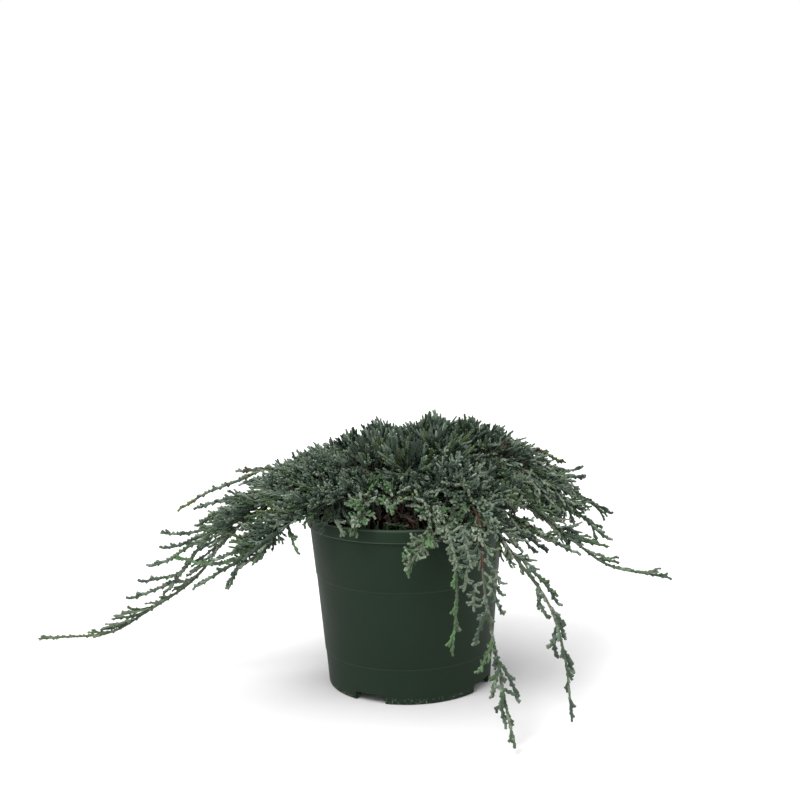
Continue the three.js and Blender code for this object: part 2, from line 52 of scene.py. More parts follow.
def chance(seed, draw):  # from 0 to 1, and it depends only on the two whole numbers
    word = np.uint64
    mask = word(0xFFFFFFFF)
    a, b = ((np.asarray(value, dtype=word) + word(1)) & mask for value in (seed, draw))
    h = ((a * word(0x9E3779B1)) & mask) ^ ((b * word(0x85EBCA6B)) & mask)
    for shift, factor in ((15, 0x2C1B3C6D), (13, 0x297A2D39)):
        h = ((h ^ (h >> word(shift))) * word(factor)) & mask
    return (h ^ (h >> word(16))) / 4294967296


def mix(a, b, share):
    return a + (b - a) * share


def unit(v):
    return v / np.maximum(np.linalg.norm(v, axis=-1, keepdims=True), 1e-9)


def around(heading, radius, height):
    a = math.radians(heading)
    return np.array([radius * math.cos(a), radius * math.sin(a), height])


def sidesOf(tangents):  # to the side of each tangent, and over it
    steep = np.abs(tangents[:, 2:]) > steepFrom
    reference = np.where(steep, np.array([0.0, 1.0, 0.0]), up)
    side = unit(np.cross(tangents, reference))
    return side, np.cross(side, tangents)


def turned(side, over, turn):  # rays that stand round a line
    return side * np.cos(turn)[:, None] + over * np.sin(turn)[:, None]


def about(draw, sway):  # from sway under 1 to sway over it
    return 1 - sway + 2 * sway * draw


# Lines, read by share of their length

def smoothLine(points, steps):  # a centripetal spline through the points, in even steps
    p = np.array(points, dtype=float)
    p = np.vstack([2 * p[0] - p[1], p, 2 * p[-1] - p[-2]])
    gaps = np.sqrt(np.maximum(np.linalg.norm(np.diff(p, axis=0), axis=1), 1e-6))
    t = np.linspace(0, 1, splineSteps, endpoint=False)[:, None]
    pieces = []
    for i in range(1, len(p) - 2):
        a, b, c, d = p[i - 1:i + 3]
        before, here, after = gaps[i - 1:i + 2]
        leave = ((b - a) / before - (c - a) / (before + here) + (c - b) / here) * here
        arrive = ((c - b) / here - (d - b) / (here + after) + (d - c) / after) * here
        square = -3 * b + 3 * c - 2 * leave - arrive
        cube = 2 * b - 2 * c + leave + arrive
        pieces.append(b + leave * t + square * t ** 2 + cube * t ** 3)
    fine = np.vstack(pieces + [p[-2:-1]])
    run = np.concatenate([[0], np.cumsum(np.linalg.norm(np.diff(fine, axis=0), axis=1))])
    even = np.linspace(0, run[-1], steps + 1)
    return np.stack([np.interp(even, run, fine[:, k]) for k in range(3)], axis=1)


def pointsOn(line, shares):
    at = np.clip(np.atleast_1d(shares), 0, 1) * (len(line) - 1)
    i = np.minimum(at.astype(int), len(line) - 2)
    return line[i] + (line[i + 1] - line[i]) * (at - i)[:, None]


def tangentsOn(line, shares):
    step = 0.5 / (len(line) - 1)
    return unit(pointsOn(line, shares + step) - pointsOn(line, shares - step))


def lengthOf(line):
    return float(np.linalg.norm(np.diff(line, axis=0), axis=1).sum())


# Colours, nodes and pieces

def linearColour(hexText):
    parts = [int(hexText[i:i + 2], 16) / 255 for i in (1, 3, 5)]
    return [c / 12.92 if c <= 0.04045 else ((c + 0.055) / 1.055) ** 2.4 for c in parts] + [1.0]


def addNode(tree, kind, inputs=None, **settings):
    # an input is a number, a colour as hex text, or another node's socket
    node = tree.nodes.new(kind)
    for name, value in settings.items():
        setattr(node, name, value)
    for name, value in (inputs or {}).items():
        if isinstance(value, bpy.types.NodeSocket):
            tree.links.new(value, node.inputs[name])
        else:
            node.inputs[name].default_value = linearColour(value) if isinstance(value, str) else value
    return node


def noiseNode(tree, place, size, detail=2, roughness=0.5):  # size and depth are in millimetres
    return addNode(tree, "ShaderNodeTexNoise", {
        "Vector": place, "Scale": 1 / (size * mm), "Detail": detail, "Roughness": roughness}).outputs["Fac"]


def bumpNode(tree, height, strength, depth):
    return addNode(tree, "ShaderNodeBump", {
        "Height": height, "Strength": strength, "Distance": depth * mm}).outputs["Normal"]


def mixNode(tree, factor, a, b):
    inputs = {"Factor": factor, "A": a, "B": b}
    return addNode(tree, "ShaderNodeMix", inputs, data_type="RGBA").outputs["Result"]


def mathNode(tree, operation, *terms):
    return addNode(tree, "ShaderNodeMath", dict(enumerate(terms)), operation=operation).outputs["Value"]


def rangeNode(tree, value, fromMin, fromMax, toMin=0, toMax=1):
    return addNode(tree, "ShaderNodeMapRange", {
        "Value": value, "From Min": fromMin, "From Max": fromMax, "To Min": toMin,
        "To Max": toMax}).outputs["Result"]


def newMaterial(name, settings, paint=None):  # paint gives the shader's inputs that have a pattern
    material = bpy.data.materials.new(name)
    material.use_nodes = True
    tree = material.node_tree
    tree.nodes.clear()
    if paint:
        place = addNode(tree, "ShaderNodeTexCoord").outputs["Object"]
        settings = {**settings, **paint(tree, place)}
    shader = addNode(tree, "ShaderNodeBsdfPrincipled", settings)
    addNode(tree, "ShaderNodeOutputMaterial", {"Surface": shader.outputs["BSDF"]})
    return material


def mottled(name, roughness, specular, patch, stops, grain, strength, depth):
    # two colours in patches under a fine relief; stops are the ramp's positions and colours
    def paint(tree, place):
        ramp = addNode(tree, "ShaderNodeValToRGB", {"Fac": noiseNode(tree, place, *patch)})
        for element, (position, colour) in zip(ramp.color_ramp.elements, stops):
            element.position = position
            element.color = linearColour(colour)
        return {"Base Color": ramp.outputs["Color"],
                "Normal": bumpNode(tree, noiseNode(tree, place, *grain), strength, depth)}
    return newMaterial(name, {"Roughness": roughness, "Specular IOR Level": specular}, paint)


def dress(piece, slot, material, nodes):
    piece.data.materials.clear()
    piece.data.materials.append(material)
    bpy.context.collection.objects.link(piece)
    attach(piece, "root")
    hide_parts(*nodes)


def pieceFromBmesh(name, mesh, smoothBelow=None):  # the bmesh is in millimetres
    bmesh.ops.remove_doubles(mesh, verts=mesh.verts, dist=mergeGap)
    bmesh.ops.recalc_face_normals(mesh, faces=mesh.faces)
    bmesh.ops.scale(mesh, vec=(mm, mm, mm), verts=mesh.verts)
    data = bpy.data.meshes.new(name)
    mesh.to_mesh(data)
    mesh.free()
    if smoothBelow:
        data.shade_smooth()
        data.set_sharp_from_angle(angle=math.radians(smoothBelow))
    return bpy.data.objects.new(name, data)


def pieceFromArrays(name, sets):  # each set has points and two arrays of faces that count from 0
    points, faces, start = [], [], 0
    for places, quads, tips in sets:
        points.append(places)
        faces += (quads + start).tolist() + (tips + start).tolist()
        start += len(places)
    data = bpy.data.meshes.new(name)
    data.from_pydata((np.vstack(points) * mm).tolist(), [], faces)
    data.update()
    return bpy.data.objects.new(name, data)


print("stage: camera, floor and light")

# The camera was fitted to the pot's rim, band and foot ellipses in the photograph.
cameraValues = {
    "place": (0, -1.094, 0.395), "pitch": 8.30, "yaw": -0.14, "roll": -1.42,
    "lens": 60.75, "sensor": 36,
}


def makeCamera(values):
    pitch, yaw, roll = (math.radians(values[key]) for key in ("pitch", "yaw", "roll"))
    forward = Vector((math.sin(yaw) * math.cos(pitch), math.cos(yaw) * math.cos(pitch), -math.sin(pitch)))
    level = Vector((math.cos(yaw), -math.sin(yaw), 0))
    upright = level.cross(forward)
    right = level * math.cos(roll) + upright * math.sin(roll)
    top = upright * math.cos(roll) - level * math.sin(roll)
    data = bpy.data.cameras.new("camera")
    data.lens = values["lens"]
    data.sensor_width = values["sensor"]
    camera = bpy.data.objects.new("camera", data)
    facing = Matrix((right, top, -forward)).transposed().to_4x4()
    camera.matrix_world = Matrix.Translation(values["place"]) @ facing
    bpy.context.collection.objects.link(camera)
    bpy.context.scene.camera = camera


makeCamera(cameraValues)

studioValues = {
    "floorSize": 12.0, "floorColour": "#cfcfcf", "sky": "#ffffff", "skyStrength": 1.02,
    "aim": (0, 0, 0.12),
    "lamps": {"key": ((-0.8, -1.0, 1.9), 28, 2.3), "overhead": ((0.1, 0.2, 2.4), 60, 1.9)},
}


def makeStudio(values):
    mesh = bmesh.new()
    bmesh.ops.create_grid(mesh, x_segments=2, y_segments=2, size=values["floorSize"] / 2)
    data = bpy.data.meshes.new("floor")
    mesh.to_mesh(data)
    mesh.free()
    floor = bpy.data.objects.new("floor", data)
    bpy.context.collection.objects.link(floor)
    data.materials.append(newMaterial("white sweep paper", {
        "Base Color": values["floorColour"], "Roughness": 0.9}))
    world = bpy.data.worlds.new("studio")
    world.use_nodes = True
    background = world.node_tree.nodes["Background"]
    background.inputs["Color"].default_value = linearColour(values["sky"])
    background.inputs["Strength"].default_value = values["skyStrength"]
    bpy.context.scene.world = world
    for name, (place, spread, power) in values["lamps"].items():  # far and wide, so shadows are soft
        light = bpy.data.lights.new(name, "SUN")
        light.angle = math.radians(spread)
        light.energy = power
        lamp = bpy.data.objects.new(name, light)
        lamp.location = place
        aim = Vector(values["aim"]) - Vector(place)
        lamp.rotation_euler = aim.to_track_quat("-Z", "Y").to_euler()
        bpy.context.collection.objects.link(lamp)
    bpy.context.scene.view_settings.view_transform = "Standard"  # whites stay white


makeStudio(studioValues)

print("stage: pot")

potValues = {
    "height": 146, "rimRadius": 82.5, "rimBand": 11, "bandOverhang": 2.2, "wallTopRadius": 79.8,
    "footRadius": 67.7, "wall": 1.8, "steps": 180,
    "ridges": (28.5, 93), "ridgeShape": ((0.5, 0), (0.3, 0.5), (0, 0.9)), "bandShadow": 0.6,
    "lipRound": 1.1, "edgeRound": 0.9, "footRound": 1.6, "lipSwell": (0.5, -2),
    "channelInner": 50, "channelOuter": 62, "channelHeight": 6.8, "channelFloor": 3,
    "channelSlopes": (2, 2.5), "base": 2.4, "baseSlope": (-1, -3),
    "notchCount": 4, "notchTurn": 61, "notchWidth": 27, "notchHeight": 7, "notchCorner": 2,
    "notchDepth": 14, "notchOutset": 1, "notchSegments": 3, "sharpAngle": 38,
}


def wallRadiusAt(height):
    top = potValues["height"] - potValues["rimBand"]
    return mix(potValues["footRadius"], potValues["wallTopRadius"], height / top)


def spun(profile, steps):  # a bmesh of the profile's full turn
    mesh = bmesh.new()
    verts = [mesh.verts.new((radius, 0, height)) for radius, height in profile]
    edges = [mesh.edges.new(pair) for pair in zip(verts, verts[1:])]
    bmesh.ops.spin(mesh, geom=verts + edges, cent=(0, 0, 0), axis=(0, 0, 1), angle=2 * math.pi,
                   steps=steps, use_merge=True)
    bmesh.ops.remove_doubles(mesh, verts=mesh.verts, dist=mergeGap)
    bmesh.ops.recalc_face_normals(mesh, faces=mesh.faces)
    return mesh


def rounded(corner, radius, fromAngle, toAngle, steps=5):  # points of an arc round a centre
    angles = [math.radians(mix(fromAngle, toAngle, i / steps)) for i in range(steps + 1)]
    return [(corner[0] + radius * math.cos(a), corner[1] + radius * math.sin(a)) for a in angles]


def potProfile(v):
    under = v["height"] - v["rimBand"]
    inside = v["channelHeight"] + v["channelFloor"]
    lip = v["rimRadius"] - v["lipRound"]
    edge, foot = v["edgeRound"], v["footRound"]
    inner = lambda height: wallRadiusAt(height) - v["wall"]
    return [
        (0, 0),
        (v["channelInner"], 0),
        (v["channelInner"] + v["channelSlopes"][0], v["channelHeight"]),
        (v["channelOuter"], v["channelHeight"]),
        (v["channelOuter"] + v["channelSlopes"][1], 0),
        *rounded((v["footRadius"] - foot, foot), foot, -90, -4),
        *[(wallRadiusAt(ridge) - inset, ridge + rise)
          for ridge in v["ridges"] for inset, rise in v["ridgeShape"]],
        (v["wallTopRadius"], under - v["bandShadow"]),
        *rounded((v["wallTopRadius"] + v["bandOverhang"] - edge, under + edge), edge, -90, 0),
        *rounded((lip, v["height"] - v["lipRound"]), v["lipRound"], 0, 90),
        *rounded((lip - edge, v["height"] - edge), edge, 90, 180),
        (inner(under) + v["lipSwell"][0], under + v["lipSwell"][1]),
        (inner(inside), inside),
        (v["channelInner"] + v["baseSlope"][0], inside),
        (v["channelInner"] + v["baseSlope"][1], v["base"]),
        (0, v["base"]),
    ]


def notchCutter(v):  # boxes through the foot's wall, with rounded upper corners
    cutter = bmesh.new()
    size = Matrix.Diagonal((v["notchDepth"], v["notchWidth"], v["notchHeight"] * 2, 1))
    for i in range(v["notchCount"]):
        turn = Matrix.Rotation(math.radians(v["notchTurn"] - 90 + 360 / v["notchCount"] * i), 4, "Z")
        place = turn @ Matrix.Translation((v["footRadius"] + v["notchOutset"], 0, 0))
        bmesh.ops.create_cube(cutter, size=1, matrix=place @ size)
    runs = [(edge, edge.verts[0].co - edge.verts[1].co) for edge in cutter.edges]
    outward = [edge for edge, run in runs
               if max(abs(run.z), abs(run.length - v["notchDepth"])) < mergeGap]
    bmesh.ops.bevel(cutter, geom=outward, offset=v["notchCorner"], affect="EDGES",
                    segments=v["notchSegments"], profile=0.5, material=-1)
    return pieceFromBmesh("notches", cutter)


def potPiece(v):
    pot = pieceFromBmesh("nursery_pot", spun(potProfile(v), v["steps"]))
    cutter = notchCutter(v)
    for piece in (pot, cutter):
        bpy.context.collection.objects.link(piece)
    cut = pot.modifiers.new("notches", "BOOLEAN")
    cut.object = cutter
    cut.operation = "DIFFERENCE"
    cut.solver = "EXACT"
    cutPot = pot.evaluated_get(bpy.context.evaluated_depsgraph_get())
    pot.data = bpy.data.meshes.new_from_object(cutPot)
    pot.modifiers.clear()
    bpy.data.objects.remove(cutter)
    pot.data.shade_smooth()
    pot.data.set_sharp_from_angle(angle=math.radians(v["sharpAngle"]))
    bpy.context.collection.objects.unlink(pot)
    return pot


# Skin tones, the foot's rubbed marks, the edge colour of the painted highlight lines, and the sheen's tint.
potColours = {"skin": ("#202c22", "#263227"), "rubbed": "#8d928c", "edge": "#56635a", "tint": "#7a7a7a"}
# Painted highlights: thin lighter lines at the lip, the band's lower edge and the wall's two steps, where
# light catches them.
potHighlightLines = [  # height, half of the width, and how pale it is
    (145.2, 0.7, 0.3), (135.4, 0.5, 0.4), (93.9, 0.5, 0.09), (29.4, 0.5, 0.12),
]
potMarks = {  # sizes, and the noise values between which a mark or the skin's roughness changes
    "cloud": 45, "footHeight": 6, "footPaleness": 0.75, "speck": 1.6, "speckEdge": (0.56, 0.66),
    "grain": 0.9, "relief": (0.12, 0.1), "cloudEdge": (0.3, 0.7), "roughness": (0.5, 0.62),
}


# Injection-moulded polypropylene, dark green: a dull even skin with a soft sheen and pale rubbed marks
# along the foot. A faint lighter line along the lip, the band and the wall's steps is a painted highlight.
def potPaint(tree, place):
    height = addNode(tree, "ShaderNodeSeparateXYZ", {"Vector": place}).outputs["Z"]
    cloud = noiseNode(tree, place, potMarks["cloud"], 4, 0.6)
    foot = rangeNode(tree, height, potMarks["footHeight"] * mm, 0.5 * mm, 0, potMarks["footPaleness"])
    speck = rangeNode(tree, noiseNode(tree, place, potMarks["speck"]), *potMarks["speckEdge"])
    colour = mixNode(tree, cloud, *potColours["skin"])
    colour = mixNode(tree, mathNode(tree, "MULTIPLY", foot, speck), colour, potColours["rubbed"])
    # Painted highlight: a thin lighter band at each of these heights.
    for edge, thickness, paleness in potHighlightLines:
        line = mathNode(tree, "COMPARE", height, edge * mm, thickness * mm)
        colour = mixNode(tree, mathNode(tree, "MULTIPLY", line, paleness), colour, potColours["edge"])
    roughness = rangeNode(tree, cloud, *potMarks["cloudEdge"], *potMarks["roughness"])
    relief = bumpNode(tree, noiseNode(tree, place, potMarks["grain"]), *potMarks["relief"])
    return {"Base Color": colour, "Roughness": roughness, "Normal": relief}


potPlastic = newMaterial("moulded polypropylene", {
    "IOR": 1.49, "Specular IOR Level": 0.1, "Specular Tint": potColours["tint"]}, potPaint)
dress(potPiece(potValues), "pot", potPlastic, ["pot"])

print("stage: potting mix")

soilValues = {
    "top": 131, "crown": 2, "seatGap": 0.3, "wallGap": 0.5, "steps": 120, "rings": 26, "lumps": 1.3,
    "lumpSize": 7, "lumpNoise": (0.9, 2.2, 4), "flatEdge": 4, "skin": 1, "baseSlope": (-4, -2),
    "footGap": 0.3, "crownSlope": 2, "sharpAngle": 50,
}
bitValues = {
    "rimGap": 6, "centre": 0.03, "sunk": 0.7, "lift": 2.4, "widths": (0.35, 0.7), "turn": 6.28,
    "tilt": 0.9, "jag": 0.3,
}
chipValues = {**bitValues, "count": 900, "lengths": (3, 11), "flatness": 0.16, "seed": 41}
grainValues = {**bitValues, "count": 150, "lengths": (1.2, 2.4), "flatness": 0.8, "seed": 43}


def soilPiece(v):
    inner = lambda height: wallRadiusAt(height) - potValues["wall"] - v["wallGap"]
    base = potValues["base"] + v["seatGap"]
    floor = potValues["channelHeight"] + potValues["channelFloor"] + v["seatGap"]
    rim = inner(v["top"])
    inward = [i / v["rings"] for i in range(v["rings"] + 1)]
    mesh = spun([
        (0, base),
        (potValues["channelInner"] + v["baseSlope"][0], base),
        (potValues["channelInner"] + v["baseSlope"][1], floor),
        (inner(floor) - v["footGap"], floor),
        *[(rim * (1 - share), v["top"] + v["crown"] * min(1, v["crownSlope"] * share)) for share in inward],
    ], v["steps"])
    for vert in mesh.verts:
        if vert.co.z > v["top"] - v["skin"]:
            at = vert.co / v["lumpSize"]
            edge = min(1, (rim - math.hypot(vert.co.x, vert.co.y)) / v["flatEdge"])
            vert.co.z += v["lumps"] * max(0, edge) * noise.fractal(at, *v["lumpNoise"])
    return pieceFromBmesh("potting_mix", mesh, v["sharpAngle"])


# Composted bark and peat: dark, rough and damp, with no shine.
soilMix = mottled("composted bark mix", 0.95, 0.2, (3, 5, 0.7), ((0.35, "#1a120d"), (0.68, "#4a3324")),
                  (3, 5, 0.7), 0.7, 1)
dress(soilPiece(soilValues), "potting_mix", soilMix, ["soil"])


def scattered(name, v):  # jagged bits that lie on the mix
    mesh = bmesh.new()
    rim = wallRadiusAt(soilValues["top"]) - potValues["wall"] - v["rimGap"]
    ground = soilValues["top"] + soilValues["crown"] * v["sunk"]
    for i in range(v["count"]):
        draw = [float(chance(v["seed"], 16 * i + channel)) for channel in range(7)]
        x, y, _ = around(360 * draw[0], rim * math.sqrt(mix(v["centre"], 1, draw[1])), 0)
        place = Matrix.Translation((x, y, ground + v["lift"] * draw[2]))
        size = mix(*v["lengths"], draw[3] ** 2)
        shape = Matrix.Diagonal((size, size * mix(*v["widths"], draw[4]), size * v["flatness"], 1))
        tilt = Matrix.Rotation(v["tilt"] * (draw[6] - 0.5), 4, "X")
        lie = Matrix.Rotation(v["turn"] * draw[5], 4, "Z") @ tilt
        made = bmesh.ops.create_cube(mesh, size=1, matrix=place @ lie @ shape)
        for k, vert in enumerate(made["verts"]):
            push = [float(chance(v["seed"] + 7, 64 * i + 4 * k + axis)) - 0.5 for axis in range(3)]
            vert.co += Vector(push) * size * v["jag"]
    return pieceFromBmesh(name, mesh)


# Shredded pine bark: dull red-brown flakes, darker where they are damp.
shreddedBark = mottled("shredded bark", 0.85, 0.3, (6, 3), ((0.38, "#2a1a14"), (0.66, "#6a3a2c")),
                       (1.2, 3), 0.6, 0.5)
# Expanded perlite: white glassy foam, dull and slightly grey with dust.
perlite = newMaterial("expanded perlite", {"Roughness": 0.8}, lambda tree, place: {
    "Base Color": mixNode(tree, noiseNode(tree, place, 2), "#a29e93", "#dad7cf")})
dress(scattered("bark_chips", chipValues), "potting_mix", shreddedBark, ["soil"])
dress(scattered("perlite_grains", grainValues), "potting_mix", perlite, ["soil"])

print("stage: trunk and limb lines")

trunkValues = {
    "height": 40, "radius": 8.5, "tipRadius": 5, "flareRadius": 14, "flareHeight": 9, "lean": 3,
    "steps": 16,
}
limbValues = {
    "rootRadius": 2.5, "tipRadius": 1.1, "tierStep": 6, "tiers": 4, "lowestRoot": 11, "stub": 4,
    "rootGap": 0.9, "bowTurn": 0.4, "bowReach": 0.45, "bowRise": 0.62, "steps": 48,
    "crownStub": 7, "crownDrop": 3, "crownStagger": 2.5, "crownSteps": 24,
}

# The skirt's limbs, anticlockwise from the front: stations of radius, height and heading, the shares
# where the bough ends and each further mass begins, and each mass's kind.
limbs = [
    ("front", [(56, 167, -98), (76, 162, -98), (89, 153, -98)], [0.24], ["hem"]),
    ("front_spray", [(58, 167, -80), (85, 153, -77), (103, 128, -88)], [0.22], ["hem"]),
    ("front_green", [(62, 166, -66), (93, 145, -69), (116, 104, -71.5), (121, 70, -74)],
     [0.14, 0.5], ["hem", "fall"]),
    ("front_red", [(72, 176, -57), (102, 154, -57), (125, 113, -63), (146, 76, -65), (168, 36, -66),
                   (182, 15, -66.6)], [0.13, 0.46, 0.74], ["hem", "fall", "fall"]),
    ("right_hang", [(70, 168, -48), (120, 128, -48), (158, 94, -48), (173, 56, -48), (178, 20, -48)],
     [0.13, 0.52], ["bank", "fall"]),
    ("right_low", [(64, 168, -34), (108, 142, -32), (132, 131, -30)], [0.2], ["hem"]),
    ("right_long", [(68, 168, -12), (132, 124, -10), (166, 99, -9), (198, 92, -8.5)],
     [0.14, 0.62], ["bank", "trail"]),
    ("right", [(68, 185, 3), (110, 168, 2), (149, 131, 0)], [0.18], ["bank"]),
    ("right_upper", [(72, 190, 18), (116, 173, 15), (161, 138, 12.6)], [0.18], ["bank"]),
    ("back_right", [(70, 184, 40), (114, 166, 40), (144, 138, 40)], [0.2], ["bank"]),
    ("back_fall", [(66, 174, 62), (110, 146, 62), (142, 98, 64), (154, 56, 66)],
     [0.16, 0.62], ["bank", "fall"]),
    ("back", [(70, 184, 86), (112, 168, 86), (142, 142, 88)], [0.2], ["bank"]),
    ("back_trail", [(68, 176, 112), (126, 144, 112), (166, 110, 114), (198, 98, 116)],
     [0.14, 0.64], ["bank", "trail"]),
    ("back_left", [(72, 172, 138), (116, 160, 138), (154, 142, 136)], [0.2], ["bank"]),
    ("left_upper", [(76, 171, 162), (116, 164, 164), (158, 152, 167), (176, 147, 168)], [0.18], ["skirt"]),
    ("left_long", [(72, 175, 178), (138, 141, 178), (176, 90, 178), (224, 57, 177.5), (254, 40, 177),
                   (302, 35, 176.5)], [0.13, 0.46, 0.72], ["skirt", "trail", "trail"]),
    ("left_second", [(76, 175, -162), (132, 151, -160), (186, 102, -160)], [0.18], ["skirt"]),
    ("left_curl", [(84, 175, -149), (132, 138, -148), (152, 131, -148), (182, 131, -148)],
     [0.2], ["skirt"]),
    ("left_drop", [(84, 165, -137), (121, 152, -139), (154, 129, -141), (174, 119, -144)],
     [0.2], ["skirt"]),
    ("front_left", [(58, 168, -118), (80, 162, -115), (92, 152, -113)], [0.24], ["hem"]),
]

# Single knobbly shoots that stand out of the masses, flat sprays on the front, and short brushes on
# the right and over the potting mix, as points in millimetres. Their order fixes their seeds.
sprigs = [
    ("sprig", {
        "upper": [(-120, 40, 173), (-137, 30, 167), (-156, 32, 160), (-171, 34, 154), (-189, 36, 143)],
        "brown": [(-102, 36, 176), (-120, 40, 173), (-138, 42, 171)],
        "main": [(-150, -8, 140), (-165, -8, 126), (-177, -8, 110), (-186, -6, 98), (-200, -4, 81)],
        "left_a": [(-138, 10, 156), (-153, 10, 153), (-162, 10, 151), (-170, 10, 148)],
        "left_b": [(-142, 0, 148), (-157, 0, 145), (-164, 0, 141), (-170, 0, 136)],
        "left_c": [(-152, -10, 136), (-170, -8, 132), (-183, -6, 129), (-197, -4, 129)],
        "left_d": [(-159, -4, 129), (-175, -2, 124), (-188, 0, 118), (-200, 0, 116)],
        "left_e": [(-165, -8, 126), (-182, -10, 118), (-195, -10, 109), (-209, -10, 104)],
        "left_f": [(-177, -2, 110), (-189, -4, 95), (-204, -6, 92), (-218, -8, 90)],
        "left_g": [(-188, 0, 88), (-202, 0, 84), (-214, 0, 79), (-229, 0, 74)],
        "loop": [(-126, -66, 127), (-144, -52, 116), (-164, -40, 112), (-176, -32, 113), (-185, -28, 115)],
        "low_a": [(-111, -84, 146), (-125, -88, 139), (-135, -90, 133), (-143, -92, 130)],
        "low_b": [(-114, -84, 138), (-128, -86, 127), (-143, -88, 119), (-158, -90, 110)],
        "low_c": [(-121, -84, 132), (-128, -88, 123), (-132, -90, 118), (-135, -92, 111)],
        "hang": [(-96, -72, 159), (-92, -78, 152), (-89, -84, 145), (-86, -86, 136)],
        "dark_a": [(82, -70, 145), (91, -76, 139), (103, -80, 130)],
        "dark_b": [(79, -72, 148), (87, -80, 141), (95, -86, 131)],
        "right_a": [(128, 4, 143), (148, 0, 133), (156, -2, 125), (165, -4, 117)],
        "right_b": [(132, 34, 150), (153, 32, 141), (163, 32, 136), (172, 32, 130)],
        "right_c": [(101, 69, 179), (112, 66, 179), (123, 63, 176), (133, 62, 170)],
        "right_d": [(123, 50, 164), (136, 52, 162), (148, 54, 163)],
        "right_e": [(130, 44, 160), (141, 44, 159), (150, 44, 158)],
        "right_f": [(106, -60, 134), (114, -62, 130), (122, -64, 126), (128, -66, 123)],
        "right_g": [(133, -20, 125), (133, -21, 120), (132, -22, 116)],
        "back_a": [(104, 86, 163), (115, 97, 158), (126, 107, 149)],
        "back_b": [(20, 123, 166), (24, 144, 157), (22, 164, 146)],
        "back_c": [(-55, 114, 159), (-70, 133, 152), (-86, 150, 140)],
        "hang_a": [(92, -108, 121), (100, -108, 113), (107, -108, 104), (111, -108, 96)],
        "hang_b": [(97, -112, 108), (98, -114, 97), (102, -114, 88)],
        "hang_c": [(107, -117, 94), (111, -118, 86), (114, -118, 79), (115, -118, 75)],
        "hang_d": [(109, -121, 79), (108, -121, 69), (109, -121, 60)],
        "hang_e": [(115, -126, 64), (118, -126, 56), (120, -126, 49)],
        "red_a": [(58, -131, 95), (54, -132, 86), (51, -132, 80), (49, -132, 74)],
        "red_b": [(64, -150, 65), (71, -152, 54), (75, -152, 45), (77, -152, 37)],
        "red_c": [(65, -151, 62), (62, -152, 50), (60, -152, 41)],
        "red_d": [(67, -158, 45), (66, -158, 33), (67, -158, 23)],
    }),
    ("spray", {
        "red_e": [(62, -136, 76), (59, -138, 67), (55, -138, 60), (52, -138, 54)],
    }),
    ("drape", {
        "under_a": [(100, -14, 164), (113, -10, 156), (127, -6, 146)],
        "under_b": [(106, 44, 158), (118, 44, 148), (130, 42, 140)],
    }),
    ("spray", {
        "spray_a": [(55, -101, 128), (48, -106, 126), (44, -110, 119), (43, -112, 111)],
        "spray_b": [(57, -112, 113), (51, -114, 110), (49, -116, 103), (49, -117, 96)],
        "spray_c": [(57, -101, 128), (62, -104, 123), (66, -106, 117), (69, -106, 112)],
        "spray_d": [(57, -107, 120), (62, -109, 115), (66, -110, 109), (69, -110, 104)],
        "spray_e": [(58, -113, 111), (63, -115, 105), (66, -116, 99), (69, -116, 92)],
    }),
    ("veil", {
        "low_d": [(-90, -80, 155), (-102, -84, 147), (-113, -86, 139)],
        "inner_a": [(-26, -50, 166), (-18, -58, 162), (-8, -64, 157)],
        "inner_b": [(-8, -50, 164), (0, -58, 160), (8, -64, 155)],
        "inner_c": [(-30, -58, 152), (-16, -66, 148), (0, -70, 146)],
        "inner_d": [(0, -62, 153), (14, -68, 149), (28, -68, 145)],
        "inner_e": [(-44, -48, 152), (-40, -56, 146), (-34, -62, 142)],
        "inner_f": [(-66, -46, 165), (-62, -54, 159), (-58, -61, 154)],
        "inner_g": [(-52, -52, 164), (-50, -59, 159), (-46, -66, 154)],
    }),
    ("spray", {
        "spray_f": [(30, -94, 152), (33, -104, 144), (35, -110, 135), (37, -114, 125)],
        "spray_g": [(41, -98, 152), (43, -107, 145), (45, -112, 137), (47, -115, 128)],
    }),
]

# The crown's masses: heading, the radius and height of the tip, and the rise of the middle.
crowns = [
    ("top", 5, 25, 203, 0), ("front", -90, 46, 184, 7), ("front_right", -46, 48, 187, 9),
    ("right", 4, 58, 199, 6), ("back_right", 62, 50, 192, 9), ("back_left", 120, 50, 190, 9),
    ("left", 172, 46, 187, 7), ("front_left", -136, 48, 183, 9),
]

# The mound's top by place from left to right. It sinks towards the back.
mound = [(-190, 164), (-150, 170), (-127, 179), (-111, 189), (-94, 197), (-78, 205), (-53, 214),
         (-36, 222), (-19, 227), (-3, 220), (12, 222), (28, 233), (38, 223), (54, 226), (71, 220),
         (95, 209), (112, 200), (128, 187), (136, 178), (144, 168), (153, 152), (175, 138)]
moundSink = 0.16
draped = ("right", "right_upper", "back_right")  # limbs whose outer half hangs full of twigs


def trunkLine(v):
    foot = np.array([0, 0, soilValues["top"] + soilValues["crown"] + soilValues["seatGap"]])
    head = foot + np.array([v["lean"], 0, v["height"]])
    middle = (foot + head) / 2 + np.array([-v["lean"] / 4, v["lean"] / 4, 0])
    return smoothLine([foot, middle, head], v["steps"])


trunk = trunkLine(trunkValues)


def trunkRadiusAt(share):
    v = trunkValues
    flare = np.maximum(0, 1 - share * v["height"] / v["flareHeight"]) ** 2
    return mix(v["radius"], v["tipRadius"], share) + (v["flareRadius"] - v["radius"]) * flare


def limbRadiusAt(share):
    return mix(limbValues["rootRadius"], limbValues["tipRadius"], share)


def trunkAt(share):  # the trunk's centre there, and how far out a limb starts
    return pointsOn(trunk, share)[0], trunkRadiusAt(share) + limbValues["rootGap"]


